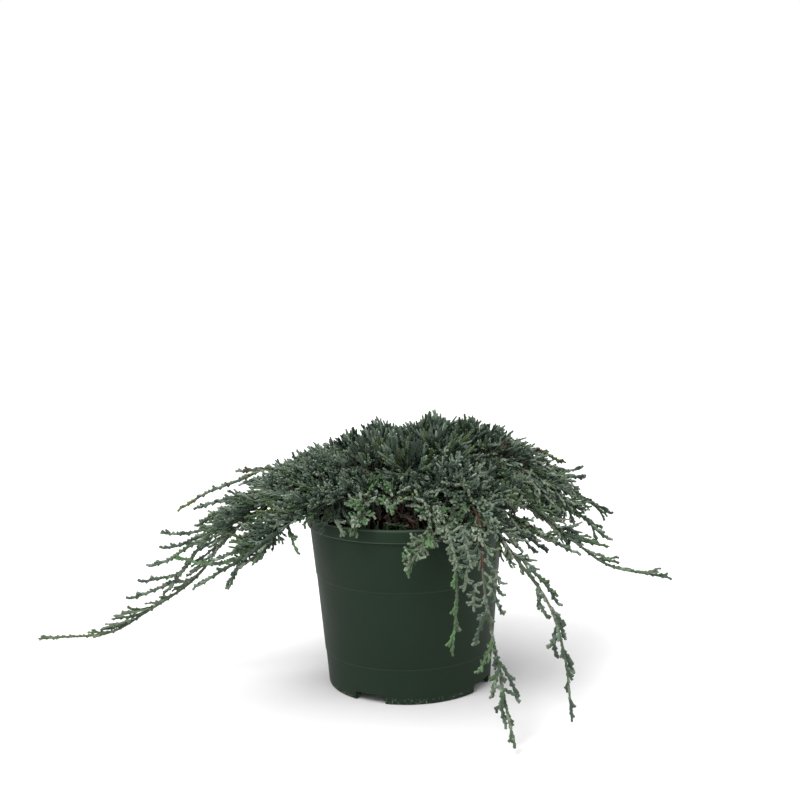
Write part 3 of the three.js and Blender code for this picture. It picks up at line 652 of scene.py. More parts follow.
def limbLine(index):
    v = limbValues
    stations = limbs[index][1]
    rootHeading = limbs[0][1][0][2] + 360 / len(limbs) * index
    core, skin = trunkAt((v["lowestRoot"] + v["tierStep"] * (index % v["tiers"])) / trunkValues["height"])
    radius, height, heading = stations[0]
    turn = (heading - rootHeading + 180) % 360 - 180
    bowHeight = mix(core[2], height, v["bowRise"])
    return smoothLine([
        core + around(rootHeading, skin, 0),
        core + around(rootHeading, skin + v["stub"], 0),
        around(rootHeading + turn * v["bowTurn"], radius * v["bowReach"], bowHeight),
        *[around(a, r, z) for r, z, a in stations],
    ], v["steps"])


def crownLine(index):
    v = limbValues
    _, heading, lean, height, arch = crowns[index]
    drop = v["crownDrop"] + v["crownStagger"] * (index % 2) if index else 0
    core, skin = trunkAt(1 - drop / trunkValues["height"])
    tip = around(heading, lean, height)
    if index:
        root = core + around(heading, skin, 0)
        stub = core + around(heading, skin + v["crownStub"], 0)
        return smoothLine([root, stub, (stub + tip) / 2 + up * arch, tip], v["crownSteps"])
    root = core + up * v["rootGap"]
    return smoothLine([root, root + up * v["crownStub"], tip], v["crownSteps"])


boughs, stems = [], []
for index, (name, _, cuts, kinds) in enumerate(limbs):
    line = limbLine(index)
    boughs.append({"name": name, "line": line, "to": cuts[0]})
    endings = ["", "_end"] if len(kinds) == 2 else ["", "_middle", "_end"]
    for k, (kind, ending, start, end) in enumerate(zip(kinds, endings, cuts, cuts[1:] + [1])):
        stems.append({"node": "foliage_" + name + ending, "limb": name, "kind": kind, "line": line,
                      "start": start, "end": end, "bare": 0, "own": True, "seed": 10 * index + k + 100})
for index, (name, *_) in enumerate(crowns):
    stems.append({"node": "foliage_crown_" + name, "limb": "crown_" + name, "kind": "crown",
                  "line": crownLine(index), "start": 0, "end": 1, "bare": 0.3 if index else 0.1,
                  "own": False, "seed": index + 1})

# Where a limb crosses the mound, more twigs stand on its crest, and short ones hang under it as a veil
# in front of the potting mix.
extraValues = {
    "crestLead": 0.05, "crestEnd": 0.5, "veilStart": 0.3, "veilEnd": 0.4, "drape": (0.04, 0.84),
    "seedSteps": {"crest": 400, "streak": 400, "veil": 800, "drape": 1200},
    "placedSeed": 900, "placedBare": 0.15,
}
extras = []


def addExtra(stem, kind, start, end):
    extras.append({**stem, "kind": kind, "start": start, "end": end, "own": False,
                   "seed": stem["seed"] + extraValues["seedSteps"][kind]})


def addExtras(stem, v):
    start, end = stem["start"], stem["end"]
    if stem["kind"] in ("hem", "skirt", "bank"):
        crest = "streak" if stem["limb"].startswith("left") else "crest"
        addExtra(stem, crest, start - v["crestLead"], mix(start, end, v["crestEnd"]))
        addExtra(stem, "veil", start * v["veilStart"], mix(start, end, v["veilEnd"]))
    if stem["limb"] in draped:
        addExtra(stem, "drape", *[mix(start, end, share) for share in v["drape"]])
    if stem["kind"] == "crown" and stem["limb"] != "crown_top":
        addExtra(stem, "veil", start, end)


for stem in stems:
    addExtras(stem, extraValues)
placed = [(name, kind, points) for kind, shoots in sprigs for name, points in shoots.items()]
for index, (name, kind, points) in enumerate(placed):
    extras.append({"node": name, "limb": name, "kind": kind, "points": points, "start": 0, "end": 1,
                   "bare": 0 if kind == "veil" else extraValues["placedBare"], "own": True,
                   "seed": extraValues["placedSeed"] + index})

print("stage: bark")

barkValues = {
    "trunkSides": 40, "trunkRelief": 0.9, "limbSides": 14, "limbRelief": 0.28, "stemSides": 8,
    "stemRelief": 0.16, "stemShare": 0.68, "ringStep": 1.6, "fewestRings": 6, "twist": 0.02,
    "fibre": 2.6, "fibreLength": 14, "seedStep": 7.3, "ridge": (0.8, 2.1, 3), "plate": 0.6,
    "sharpAngle": 60,
}


def barkRod(mesh, line, start, end, sides, radiusAt, relief, seed):
    # a grid rolled up along the line, with long ridges pushed out of its skin
    v = barkValues
    length = lengthOf(line) * (end - start)
    rings = max(v["fewestRings"], round(length / v["ringStep"]))
    verts = bmesh.ops.create_grid(mesh, x_segments=rings, y_segments=sides, size=0.5)["verts"]
    shares = np.array([vert.co.x + 0.5 for vert in verts])
    turns = np.array([vert.co.y + 0.5 for vert in verts]) * 2 * math.pi
    at = mix(start, end, shares)
    rays = turned(*sidesOf(tangentsOn(line, at)), turns)
    places = zip(verts, pointsOn(line, at), rays, radiusAt(at), turns, shares * length)
    for vert, centre, ray, radius, turn, run in places:
        twist = turn + run * v["twist"]
        where = Vector((math.cos(twist) * v["fibre"], math.sin(twist) * v["fibre"],
                        run / v["fibreLength"] + seed * v["seedStep"]))
        ridge = noise.fractal(where, *v["ridge"]) - abs(noise.noise(where * v["plate"]))
        vert.co = Vector(centre + ray * (radius + relief * ridge))
    bmesh.ops.remove_doubles(mesh, verts=verts, dist=2 * mergeGap)


def rodPiece(name, rods):
    mesh = bmesh.new()
    for rod in rods:
        barkRod(mesh, *rod)
    edges = [edge for edge in mesh.edges if edge.is_boundary]
    bmesh.ops.holes_fill(mesh, edges=edges, sides=0)
    return pieceFromBmesh(name, mesh, barkValues["sharpAngle"])


def woodPiece(v):
    rods = [(trunk, 0, 1, v["trunkSides"], trunkRadiusAt, v["trunkRelief"], 1)]
    for k, bough in enumerate(boughs):
        rods.append((bough["line"], 0, bough["to"], v["limbSides"], limbRadiusAt, v["limbRelief"], k + 2))
    return rodPiece("trunk_and_boughs", rods)


# Stringy conifer bark: grey-brown outside and red-brown where a strip has come off. Young stems keep
# the smoother red skin.
def barkMaterial(name, outer, inner, roughness):
    return mottled(name, roughness, 0.25, (5, 4, 0.65), ((0.4, inner), (0.62, outer)), (0.8, 3), 0.5, 0.3)


dress(woodPiece(barkValues), "bark", barkMaterial("peeling juniper bark", "#5f5147", "#4b3229", 0.85),
      ["trunk"] + ["bough_" + bough["name"] for bough in boughs])

print("stage: foliage")

# Colours of the foliage, each one piece. Scale leaves are a dull waxy green, bluer where the bloom is
# whole, fresh green at new tips, and yellow or bronze where shade or cold has turned them. The deep tones
# are also painted shade inside the masses, and the palest tone is a painted highlight on lit tips.
tones = {
    "deep_teal": "#26332a", "teal": "#3e4c40", "blue_grey": "#5a695b", "bloom": "#7b887a",
    "deep_green": "#2a3822", "mid_green": "#465531", "leaf_green": "#41543a", "grey_green": "#5f6a59",
    "pale_green": "#717d6b", "fresh_green": "#4c6845", "yellow_green": "#66703a", "bronze": "#403c2d",
    "dried": "#32201a",
}
# One tone lighter for each, for the lit fingers' painted highlight.
lighter = {"deep_teal": "teal", "teal": "blue_grey", "blue_grey": "bloom", "deep_green": "leaf_green",
           "mid_green": "leaf_green", "leaf_green": "grey_green", "grey_green": "pale_green",
           "pale_green": "bloom"}

toneNames = list(tones)
lighterTones = np.array([toneNames.index(lighter.get(name, name)) for name in toneNames])


# A rule branches shoots from their parents, as in the solids but in finer steps. The span is a share of
# the parent, the step is in millimetres, and spread is how far round the parent they stand, 360 for all
# round. tipAngle and tipKeep are an outer shoot's angle and chance.
def rule(span, step, angle, spread, lengths, width, lift=0, bend=0, tipAngle=None, tipKeep=1):
    return {"span": span, "step": step, "angles": (angle, tipAngle or angle), "spread": spread,
            "lengths": lengths, "width": width, "lift": lift, "bend": bend, "keep": (1, tipKeep)}


# How each kind of mass grows. Twigs leave the stem by turns, twiglets branch from the twigs, and
# fingers from all three. crowd packs twigs towards the root, and lifts are the root's and the tip's.
# A mounded kind is held down by the mound's top, and its shaded fingers take a darker tone.
common = {
    "angleShare": 0.8, "lifts": (0, 0), "level": 0, "tipShare": 0.7, "sway": 50, "bend": 0,
    "width": 2.1, "crowd": 1, "tipLength": 22, "leaderStart": 0.55, "mounded": False,
    "shade": "deep_teal", "shadeShare": 0.34, "litShare": 0.3,
}
mounded = {**common, "mounded": True}
leafy = {**common, "leaderStart": 0, "shade": None, "litShare": 0.1}  # the whole stem is leafy
habits = {
    "crown": dict(
        mounded, twigStep=1.05, twigLength=25, twigAngle=52, angleShare=1, lifts=(0.5, 0.3),
        tipShare=0.85, sizes=(0.6, 1.06), bend=0.1, tipLength=13,
        turns=[90, 20, 160, 60, 125, 0, 185, 100, 40, 145, 75, -20, 205, -45, 225, -70, 250],
        twiglets=rule((0.25, 0.9), 4.8, 26, 300, (14, 8), 2.1, 0.2, 0.08),
        fingers=rule((0.28, 0.95), 3, 17, 260, (9.5, 6.5), 2.2, 0.14, 0.05),
        tones=dict(deep_teal=0.24, teal=0.3, blue_grey=0.25, leaf_green=0.14, mid_green=0.07)),
    "crest": dict(
        mounded, twigStep=2.2, twigLength=26, twigAngle=42, lifts=(0.4, 0.05), level=0.2,
        tipShare=0.75, sizes=(0.55, 1.05), sway=60, bend=0.08,
        turns=[90, 30, 150, 60, 120, 0, 180, 100, 45, 140, 75],
        twiglets=rule((0.25, 0.9), 5, 30, 300, (13, 8), 2.1, 0.2, 0.08),
        fingers=rule((0.2, 0.95), 2.6, 25, 260, (7.5, 5), 2.1, 0.12, 0.05),
        tones=dict(deep_teal=0.12, teal=0.32, blue_grey=0.3, leaf_green=0.12, grey_green=0.14)),
    "streak": dict(
        mounded, twigStep=2.4, twigLength=36, twigAngle=30, angleShare=0.7, lifts=(0.22, 0), level=0.2,
        tipShare=0.8, sizes=(0.55, 1.05), bend=-0.02,
        turns=[90, 40, 140, 65, 115, 15, 165, 100, 50, 130, 80],
        twiglets=rule((0.15, 0.75), 5.5, 22, 180, (16, 8), 2, 0.08, 0.02),
        fingers=rule((0.1, 0.96), 2.4, 26, 220, (5.6, 4), 2, 0.1, 0.02),
        tones=dict(deep_teal=0.06, teal=0.26, blue_grey=0.3, grey_green=0.26, leaf_green=0.12)),
    "veil": dict(
        common, twigStep=4.4, twigLength=22, twigAngle=64, angleShare=1, lifts=(-0.3, -0.3), tipShare=1,
        sizes=(0.6, 1.1), bend=-0.05, turns=[-90, -50, -130, -70, -110, -30, -150],
        twiglets=rule((0.2, 0.85), 4.6, 34, 200, (11, 6), 2),
        fingers=rule((0.1, 0.96), 3, 32, 200, (5.2, 4), 2.2),
        tones=dict(deep_teal=0.3, teal=0.3, leaf_green=0.2, grey_green=0.2)),
    "hem": dict(
        common, twigStep=2.9, twigLength=36, twigAngle=38, lifts=(0.3, -0.1), sizes=(0.5, 1.08),
        width=2.2, tipLength=11, shade="deep_green", shadeShare=0.44,
        turns=[15, 165, 60, -50, 110, 200, 85, 230, 0, 140, -20, 40, -75, 255],
        twiglets=rule((0.15, 0.8), 4.2, 38, 60, (14, 6), 2.2, 0.03, 0.03),
        fingers=rule((0.1, 0.97), 2.4, 40, 70, (4.8, 3.8), 2.5, 0.03, 0.02),
        tones=dict(grey_green=0.36, pale_green=0.16, blue_grey=0.24, leaf_green=0.24)),
    "skirt": dict(
        mounded, twigStep=3.7, twigLength=54, twigAngle=27, angleShare=0.6, lifts=(0.08, -0.02),
        level=0.3, tipShare=0.5, sizes=(0.4, 1.1), sway=40, bend=0.02, width=2.3, crowd=1.6,
        shadeShare=0.44, turns=[15, 165, 60, 120, 0, 180, 90, 35, 150, -25, 205, 75, 105],
        twiglets=rule((0.08, 0.6), 5.5, 19, 80, (25, 11), 2.1, 0.02, 0.02),
        fingers=rule((0.04, 0.95), 2.3, 32, 110, (5.2, 3.6), 2.25, 0.03, 0.02, 17, 0.55),
        tones=dict(teal=0.34, blue_grey=0.24, grey_green=0.2, leaf_green=0.16, mid_green=0.06)),
    "bank": dict(
        mounded, twigStep=3, twigLength=40, twigAngle=33, angleShare=0.65, lifts=(0.1, -0.04),
        level=0.12, tipShare=0.62, sizes=(0.5, 1.1), width=2.3, crowd=1.1, shadeShare=0.44,
        turns=[15, 165, 60, -40, 120, 220, 0, 180, 90, -75, 35, 150, 255, -25, 205, 75, 105],
        twiglets=rule((0.1, 0.66), 5.5, 25, 90, (18, 9), 2.1, 0.02, 0.01),
        fingers=rule((0.04, 0.95), 2.5, 32, 130, (4.8, 3.5), 2.1, 0.02, 0.01, 20, 0.6),
        tones=dict(teal=0.22, blue_grey=0.22, grey_green=0.34, leaf_green=0.17, mid_green=0.05)),
    "drape": dict(
        mounded, twigStep=2.1, twigLength=36, twigAngle=48, lifts=(-0.12, -0.16), sizes=(0.5, 1.1),
        bend=-0.04, width=2.2, turns=[-90, -40, -140, -65, -115, -15, -165],
        twiglets=rule((0.15, 0.7), 5, 24, 120, (13, 8), 2.1),
        fingers=rule((0.06, 0.95), 2.6, 32, 140, (4.6, 3.4), 2.1),
        tones=dict(deep_teal=0.08, teal=0.3, leaf_green=0.22, mid_green=0.08, grey_green=0.32)),
    "sprig": dict(
        leafy, twigStep=16, twigLength=12, twigAngle=14, lifts=(0.04, 0), tipShare=0.4,
        sizes=(0.6, 1.1), sway=60, width=2.4, crowd=1.5, tipLength=4,
        turns=[30, 150, 60, 200, 100, -20],
        twiglets=rule((0.3, 0.6), 12, 14, 90, (5, 4), 2.2),
        fingers=rule((0, 0.9), 2.5, 29, 70, (3.6, 3.1), 2.7, 0, 0, 26, 0.95),
        tones=dict(teal=0.5, blue_grey=0.14, leaf_green=0.16, grey_green=0.2)),
    "spray": dict(
        leafy, twigStep=2.7, twigLength=6.5, twigAngle=44, sizes=(0.7, 1.1), sway=40, bend=-0.1,
        width=2.4, tipLength=4, turns=[0, 180],
        twiglets=rule((0.3, 0.7), 6, 30, 60, (3.4, 2.8), 2.4),
        fingers=rule((0.3, 0.95), 2.6, 30, 60, (3, 2.6), 2.3),
        tones=dict(grey_green=0.5, teal=0.25, blue_grey=0.25)),
    "trail": dict(
        leafy, twigStep=11, twigLength=38, twigAngle=16, level=0.2, tipShare=0.34, sizes=(0.7, 1.1),
        sway=60, bend=0.02, width=2.3, crowd=1.3, turns=[60, 135, 30, 95, 160, 10],
        twiglets=rule((0.2, 0.6), 12, 18, 90, (12, 8), 2.3),
        fingers=rule((0, 0.92), 3.2, 24, 100, (3.3, 2.8), 2.4),
        tones=dict(grey_green=0.36, leaf_green=0.3, teal=0.34)),
    "fall": dict(
        leafy, twigStep=14, twigLength=29, twigAngle=13, angleShare=0.9, tipShare=0.55,
        sizes=(0.75, 1.1), sway=40, bend=-0.1, width=2.6, tipLength=15, turns=[0, 180],
        twiglets=rule((0.3, 0.6), 12, 18, 60, (8, 6), 2.5),
        fingers=rule((0.15, 0.92), 2.8, 17, 70, (3.2, 2.7), 2.6),
        tones=dict(grey_green=0.34, blue_grey=0.16, leaf_green=0.2, teal=0.3)),
}
ownTones = {  # masses and placed shoots whose colour differs from their kind's
    "foliage_front_green_end": dict(leaf_green=0.45, fresh_green=0.35, grey_green=0.2),
    "foliage_front_left": dict(fresh_green=0.3, pale_green=0.14, leaf_green=0.26, grey_green=0.3),
    "foliage_front": dict(pale_green=0.24, grey_green=0.36, blue_grey=0.14, fresh_green=0.26),
    "foliage_front_spray": dict(pale_green=0.26, grey_green=0.46, fresh_green=0.28),
    "foliage_right_low": dict(grey_green=0.5, pale_green=0.1, leaf_green=0.34, mid_green=0.06),
    "brown": dict(bronze=0.5, grey_green=0.3, teal=0.2),
    "upper": dict(mid_green=0.3, grey_green=0.3, teal=0.4),
    "loop": dict(fresh_green=0.5, leaf_green=0.5),
    "hang": dict(fresh_green=0.6, leaf_green=0.4),
    "right_b": dict(deep_teal=0.5, teal=0.5),
    "right_c": dict(mid_green=0.7, bronze=0.3),
    "red_e": dict(leaf_green=0.7, fresh_green=0.3),
    **{name: {"deep_teal": 1} for name in ("dark_a", "dark_b", "right_g")},
    **{name: {"dried": 1} for name in ("inner_a", "inner_b")},
    **{name: {"deep_green": 1} for name in ("inner_c", "inner_d", "inner_e")},
}
leaderStarts = {"front_red": 0.62, "right_hang": 0.6, "front": 1}  # bare before it
stemEnds = {"front": 0.5, "left_upper": 0.7, "left_second": 0.86, "left_curl": 0.82, "left_drop": 0.9}
reaches = {  # how far along its stem a mass has twigs
    "foliage_right_upper": 0.82, "foliage_right": 0.86, "foliage_left_upper": 0.6,
    "foliage_left_long": 0.9, "foliage_left_long_end": 0.5, "foliage_left_second": 0.68,
    "foliage_left_curl": 0.68, "foliage_left_drop": 0.74,
}
lengthShares = {  # how long its twigs and twiglets are beside its kind's
    "foliage_front": 0.66, "foliage_front_left": 0.7, "foliage_front_green_end": 0.72,
    "foliage_front_spray": 0.6, "foliage_right_hang_end": 0.5, "foliage_front_red_middle": 0.5,
    "foliage_front_red_end": 0.5, "low_d": 0.5, "right_g": 0.4, "under_a": 0.6, "under_b": 0.6,
    **{"inner_" + letter: 0.6 for letter in "abcde"},
}
floors = {"front": 158, "front_left": 149, "right_low": 129, "left_curl": 112}  # none hangs below it

# Where the sky shows between the masses: the two ends of each open line through them, and its radius.
skyGaps = [
    ((88, -90, 159), (105, 100, 115), 2.6), ((95, -90, 158), (112, 100, 114), 2.6),
    ((101, -90, 150.5), (121, 100, 104.5), 3.6), ((107, -90, 147), (128, 100, 99.5), 3.6),
]

# Sprays whose colour differs from their neighbours': centre, radius, colour and share of the shoots.
patches = [
    ((-13, -32, 189), 13, "yellow_green", 0.3), ((4, -78, 180), 17, "yellow_green", 0.12),
    ((52, -31, 198), 16, "mid_green", 0.3), ((69, -16, 189), 13, "bronze", 0.3),
    ((84, -4, 185), 13, "bronze", 0.3), ((29, 2, 224), 9, "yellow_green", 0.7),
    ((-42, -82, 163), 16, "fresh_green", 0.4), ((50, -60, 178), 28, "teal", 0.45),
    ((-186, 34, 144), 10, "yellow_green", 0.6), ((-300, 16, 38), 40, "mid_green", 0.5),
    ((-46, -32, 190), 24, "grey_green", 0.3), ((82, -50, 172), 26, "teal", 0.3),
]
growthValues = {
    "squeezes": (1, 0.65, 0.35), "shortenings": (1, 0.7), "potGap": 0.9, "floorGap": 2,
    "lipWidth": 4, "bandSlack": 1, "wallSlack": 0.5, "innerSlack": 1.5,
    "probes": (0.15, 0.3, 0.45, 0.6, 0.8, 1), "moundRoughness": 9, "twigPlace": (0.4, 0.5),
    "twigAngleSway": 0.2, "place": (0.15, 0.7), "angleSway": 0.25, "lengthSway": 0.25,
    "widthSway": 0.1, "roundFrom": 200, "tipRoot": 0.985, "leaderStep": 8, "leaderWidth": 2.9,
    "leaderTaper": (1.1, 0.82), "leaderLap": 1.12, "rootNear": 3, "lineSteps": 24,
    "toneChange": 0.3, "shadeBlur": 0.25, "litFrom": 0.55, "marks": (0, 0.3, 0.6, 0.9),
    "stemSeeds": 1000, "tipSeed": 999, "leaderSeed": 500, "seedFactor": 37, "seedLimit": 2000000011,
    "twigletSalt": 11, "fingerSalts": (23, 29, 35),
}


def potClearance(p):  # the distance to the pot, the potting mix and the ground, about
    v, g = potValues, growthValues
    radius = np.hypot(p[:, 0], p[:, 1])
    overSoil = p[:, 2] - soilValues["top"] - soilValues["crown"]
    inner = v["rimRadius"] - g["lipWidth"]
    aside = np.where(radius > v["rimRadius"], radius - v["rimRadius"], np.maximum(0, inner - radius))
    above = np.hypot(p[:, 2] - v["height"], aside)
    banded = p[:, 2] > v["height"] - v["rimBand"] - g["bandSlack"]
    outside = radius - np.where(banded, v["rimRadius"], wallRadiusAt(p[:, 2]) + g["wallSlack"])
    inside = v["wallTopRadius"] - v["wall"] - g["innerSlack"] - radius
    within = np.where(outside > 0, outside, np.minimum(inside, overSoil))
    return np.where(p[:, 2] > v["height"], above, within)


def shootPoints(shoots, share):
    along = np.reshape(share, (-1, 1)) * shoots["length"][:, None]
    return shoots["root"] + shoots["direction"] * along + up * (
        shoots["bend"] * shoots["length"] * np.reshape(share, -1) ** 2)[:, None]


def moundTop(p):
    places, heights = zip(*mound)
    return np.interp(p[:, 0], places, heights) - moundSink * np.maximum(0, p[:, 1])


def inSkyGap(p):
    found = np.zeros(len(p), dtype=bool)
    for start, end, radius in skyGaps:
        start, run = np.array(start), np.subtract(end, start)
        share = np.clip((p - start) @ run / (run @ run), 0, 1)
        found |= np.linalg.norm(p - start - share[:, None] * run, axis=1) < radius
    return found


def isClear(shoots):
    v = growthValues
    clear = np.ones(len(shoots["length"]), dtype=bool)
    half = shoots["width"] / 2
    for share in v["probes"]:
        p = shootPoints(shoots, share)
        clear &= ~inSkyGap(p) & (potClearance(p) > v["potGap"] + half) & (p[:, 2] > shoots["floor"] + half)
    over = p[:, 2] > moundTop(p) - v["moundRoughness"] * chance(shoots["seed"], 13)
    return clear & ~(over & shoots["mounded"])


def chosen(shoots, keep):
    return {key: values[keep] for key, values in shoots.items()}


def joined(sets):
    return {key: np.concatenate([one[key] for one in sets]) for key in sets[0]}


def shootsOf(stem, root, direction, beside, **values):  # a value is one for all, or one for each
    values["floor"] = floors.get(stem["limb"], growthValues["floorGap"])
    values["mounded"] = habits[stem["kind"]]["mounded"]
    return {"root": root, "direction": direction, "normal": unit(beside),
            **{key: np.broadcast_to(value, len(root)).copy() for key, value in values.items()}}


def twigsOf(stem):
    v, habit = growthValues, habits[stem["kind"]]
    line, bare = stem["line"], stem["bare"]
    room = lengthOf(line) * (stem["end"] - stem["start"]) * (1 - bare)
    count = max(3, round(room / habit["twigStep"]))
    k = np.arange(count)
    draw = lambda channel: chance(stem["seed"], 16 * k + channel)
    reach = reaches.get(stem["node"], 1) - bare
    first, sway = v["twigPlace"]
    along = bare + reach * ((k + first + sway * draw(0)) / count) ** habit["crowd"]
    share = mix(stem["start"], stem["end"], along)
    tangent = tangentsOn(line, share)
    turns = np.array(habit["turns"])[k % len(habit["turns"])]
    out = turned(*sidesOf(tangent), np.radians(turns + habit["sway"] * (draw(1) - 0.5)))
    angle = np.radians(habit["twigAngle"] * about(draw(2), v["twigAngleSway"]))
    angle = angle * mix(1, habit["angleShare"], along)
    lift = mix(*habit["lifts"], along) - habit["level"] * np.minimum(0, tangent[:, 2])
    size = mix(*habit["sizes"], draw(3)) * mix(1, habit["tipShare"], along)
    length = habit["twigLength"] * lengthShares.get(stem["node"], 1) * size
    twigs, done = None, np.zeros(count, dtype=bool)
    for squeeze in v["squeezes"]:  # a twig that fits nowhere lies closer to the stem, or is shorter
        bent = (angle * squeeze)[:, None]
        direction = unit(tangent * np.cos(bent) + out * np.sin(bent) + up * lift[:, None])
        for shortening in v["shortenings"]:
            tried = shootsOf(stem, pointsOn(line, share), direction, np.cross(tangent, direction),
                             length=length * shortening, width=habit["width"], bend=habit["bend"],
                             seed=stem["seed"] * v["stemSeeds"] + k, along=along, part=along)
            fits = isClear(tried) & ~done
            twigs = twigs or tried
            for key, values in tried.items():
                twigs[key][fits] = values[fits]
            done |= fits
    twigs = chosen(twigs, done)
    if stem["end"] != stemEnds.get(stem["limb"], 1):
        return twigs
    ahead = tangentsOn(line, 1)
    tip = shootsOf(stem, pointsOn(line, v["tipRoot"]), ahead, np.cross(ahead, up),
                   length=habit["tipLength"], width=habit["width"], bend=0,
                   seed=stem["seed"] * v["stemSeeds"] + v["tipSeed"], along=1, part=1)
    return joined([twigs, chosen(tip, isClear(tip))])


def leaderOf(stem):  # the outer part of the stem itself, in short straight lengths
    v, start, end = growthValues, stem["start"], stem["end"]
    first = mix(start, end, habits[stem["kind"]]["leaderStart"])
    first = max(first, leaderStarts.get(stem["limb"], 0))
    last = min(end, stemEnds.get(stem["limb"], 1))
    if first >= last:
        return None
    count = max(1, round(lengthOf(stem["line"]) * (last - first) / v["leaderStep"]))
    shares = np.linspace(first, last, count + 1)
    ends = pointsOn(stem["line"], shares)
    run = np.diff(ends, axis=0)
    return shootsOf(stem, ends[:-1], unit(run), np.cross(unit(run), up),
                    length=np.linalg.norm(run, axis=1) * v["leaderLap"],
                    width=v["leaderWidth"] * mix(*v["leaderTaper"], shares[:-1]), bend=0,
                    seed=stem["seed"] * v["stemSeeds"] + v["leaderSeed"] + np.arange(count),
                    along=(shares[:-1] - start) / (end - start), part=1)


def branch(parents, rule, salt):
    v = growthValues
    room = parents["length"] * (rule["span"][1] - rule["span"][0])
    counts = np.maximum(1, np.round(room / rule["step"])).astype(int)
    owner = np.repeat(np.arange(len(counts)), counts)
    order = np.arange(len(owner)) - np.repeat(np.cumsum(counts) - counts, counts)
    held = chosen(parents, owner)
    draw = lambda channel: chance(held["seed"] + salt, 8 * order + channel)
    first, sway = v["place"]
    part = (order + first + sway * draw(0)) / counts[owner]
    share = mix(*rule["span"], part)
    tangent = unit(held["direction"] + up * (2 * held["bend"] * share)[:, None])
    side = unit(np.cross(held["normal"], tangent))
    out = turned(side, held["normal"], np.radians(180 * (order % 2) + rule["spread"] * (draw(1) - 0.5)))
    angle = np.radians(mix(*rule["angles"], held["along"]) * about(draw(2), v["angleSway"]))[:, None]
    direction = unit(tangent * np.cos(angle) + out * np.sin(angle) + up * rule["lift"])
    normal = held["normal"] if rule["spread"] < v["roundFrom"] else unit(np.cross(tangent, direction))
    made = {
        **held, "root": shootPoints(held, share), "direction": direction,
        "normal": unit(normal - direction * (normal * direction).sum(axis=1, keepdims=True)),
        "length": mix(*rule["lengths"], part) * about(draw(3), v["lengthSway"]),
        "width": rule["width"] * about(draw(4), v["widthSway"]),
        "bend": np.full(len(owner), rule["bend"]), "part": part,
        "seed": (held["seed"] * v["seedFactor"] + order + salt) % v["seedLimit"],
    }
    return chosen(made, isClear(made) & (draw(5) < mix(*rule["keep"], held["along"])))


def dealtTones(seeds, weights, salt):
    edges = np.cumsum(list(weights.values()))
    pick = np.minimum(np.searchsorted(edges, chance(seeds, salt) * edges[-1]), len(edges) - 1)
    return np.array([toneNames.index(name) for name in weights])[pick]


def rooted(points):  # the line of a placed shoot, from the nearest growth
    cloud = np.vstack(grown)
    away = np.linalg.norm(cloud - np.array(points[0]), axis=1)
    nearest = np.argmin(away)
    onward = points[int(away[nearest] < growthValues["rootNear"]):]
    return smoothLine([cloud[nearest], *onward], growthValues["lineSteps"])


# Painted shade and painted highlight: near their root fingers take the habit's shade tone, partly the real
# darker inner foliage, and some near their tip take a lighter tone where light falls.
def toneFingers(fingers, habit):  # darker near their root, and some lighter near their tip
    v = growthValues
    shaded = fingers["part"] + v["shadeBlur"] * chance(fingers["seed"], 3) < habit["shadeShare"]
    lit = (fingers["part"] > v["litFrom"]) & (chance(fingers["seed"], 4) < habit["litShare"])
    if habit["shade"]:
        fingers["tone"] = np.where(shaded, toneNames.index(habit["shade"]), fingers["tone"])
    fingers["tone"] = np.where(lit, lighterTones[fingers["tone"]], fingers["tone"])


def patch(shoots):
    for centre, radius, toneName, share in patches:
        near = np.linalg.norm(shoots["root"] - np.array(centre), axis=1) < radius
        taken = near & (chance(shoots["seed"] // growthValues["seedFactor"], 12) < share)
        shoots["tone"] = np.where(taken, toneNames.index(toneName), shoots["tone"])


def grow(stem):  # a stem's twigs, twiglets, leader and fingers
    v, habit, share = growthValues, habits[stem["kind"]], lengthShares.get(stem["node"], 1)
    weights = ownTones.get(stem["node"], habit["tones"]) if stem["own"] else habit["tones"]
    twigs = twigsOf(stem)
    twigs["tone"] = dealtTones(twigs["seed"], weights, 5)
    twiglets = branch(twigs, habit["twiglets"], v["twigletSalt"])
    twiglets["length"] *= share
    changed = chance(twiglets["seed"], 9) < v["toneChange"]
    again = dealtTones(twiglets["seed"], weights, 6)
    twiglets["tone"] = np.where(changed, again, twiglets["tone"])
    batch = {"twigs": twigs, "twiglets": twiglets}
    leader = leaderOf(stem) if stem["own"] else None
    if leader:
        leader["tone"] = dealtTones(leader["seed"], weights, 5)
        batch["leader"] = leader
    parents = list(batch.values())
    fingers = joined([branch(each, habit["fingers"], salt)
                      for each, salt in zip(parents, v["fingerSalts"])])
    toneFingers(fingers, habit)
    batch["fingers"] = fingers
    for shoots in batch.values():
        patch(shoots)
    for shoots in parents:
        grown.extend(shootPoints(shoots, mark) for mark in v["marks"])
    return batch


collected, grown = [], []
for stem in stems + extras:
    if "points" in stem:
        stem["line"] = rooted(stem["points"])
    collected.append(grow(stem))

print("stage: leaves")

cordValues = {
    "sides": 4, "plait": 0.74, "lastRing": 0.94, "stations": (0, 0.2, 0.75, 1), "ringStep": 2.4,
    "ringCounts": (3, 26), "mostTriangles": 190000,
}
rodValues = {  # each kind's thickness at the stations, and how far its rings are drawn in by turns
    "twigs": ((0.5, 0.95, 1, 0.7), 0.15), "twiglets": ((0.8, 1, 0.95, 0.7), 0.15),
    "leader": ((0.9, 1, 1, 0.9), 0.24), "fingers": ((0.75, 1, 1.05, 0.72), 0),
}
twigValues = {"rings": 5, "profile": (1, 0.9, 0.5, 0.2), "width": 1.4}


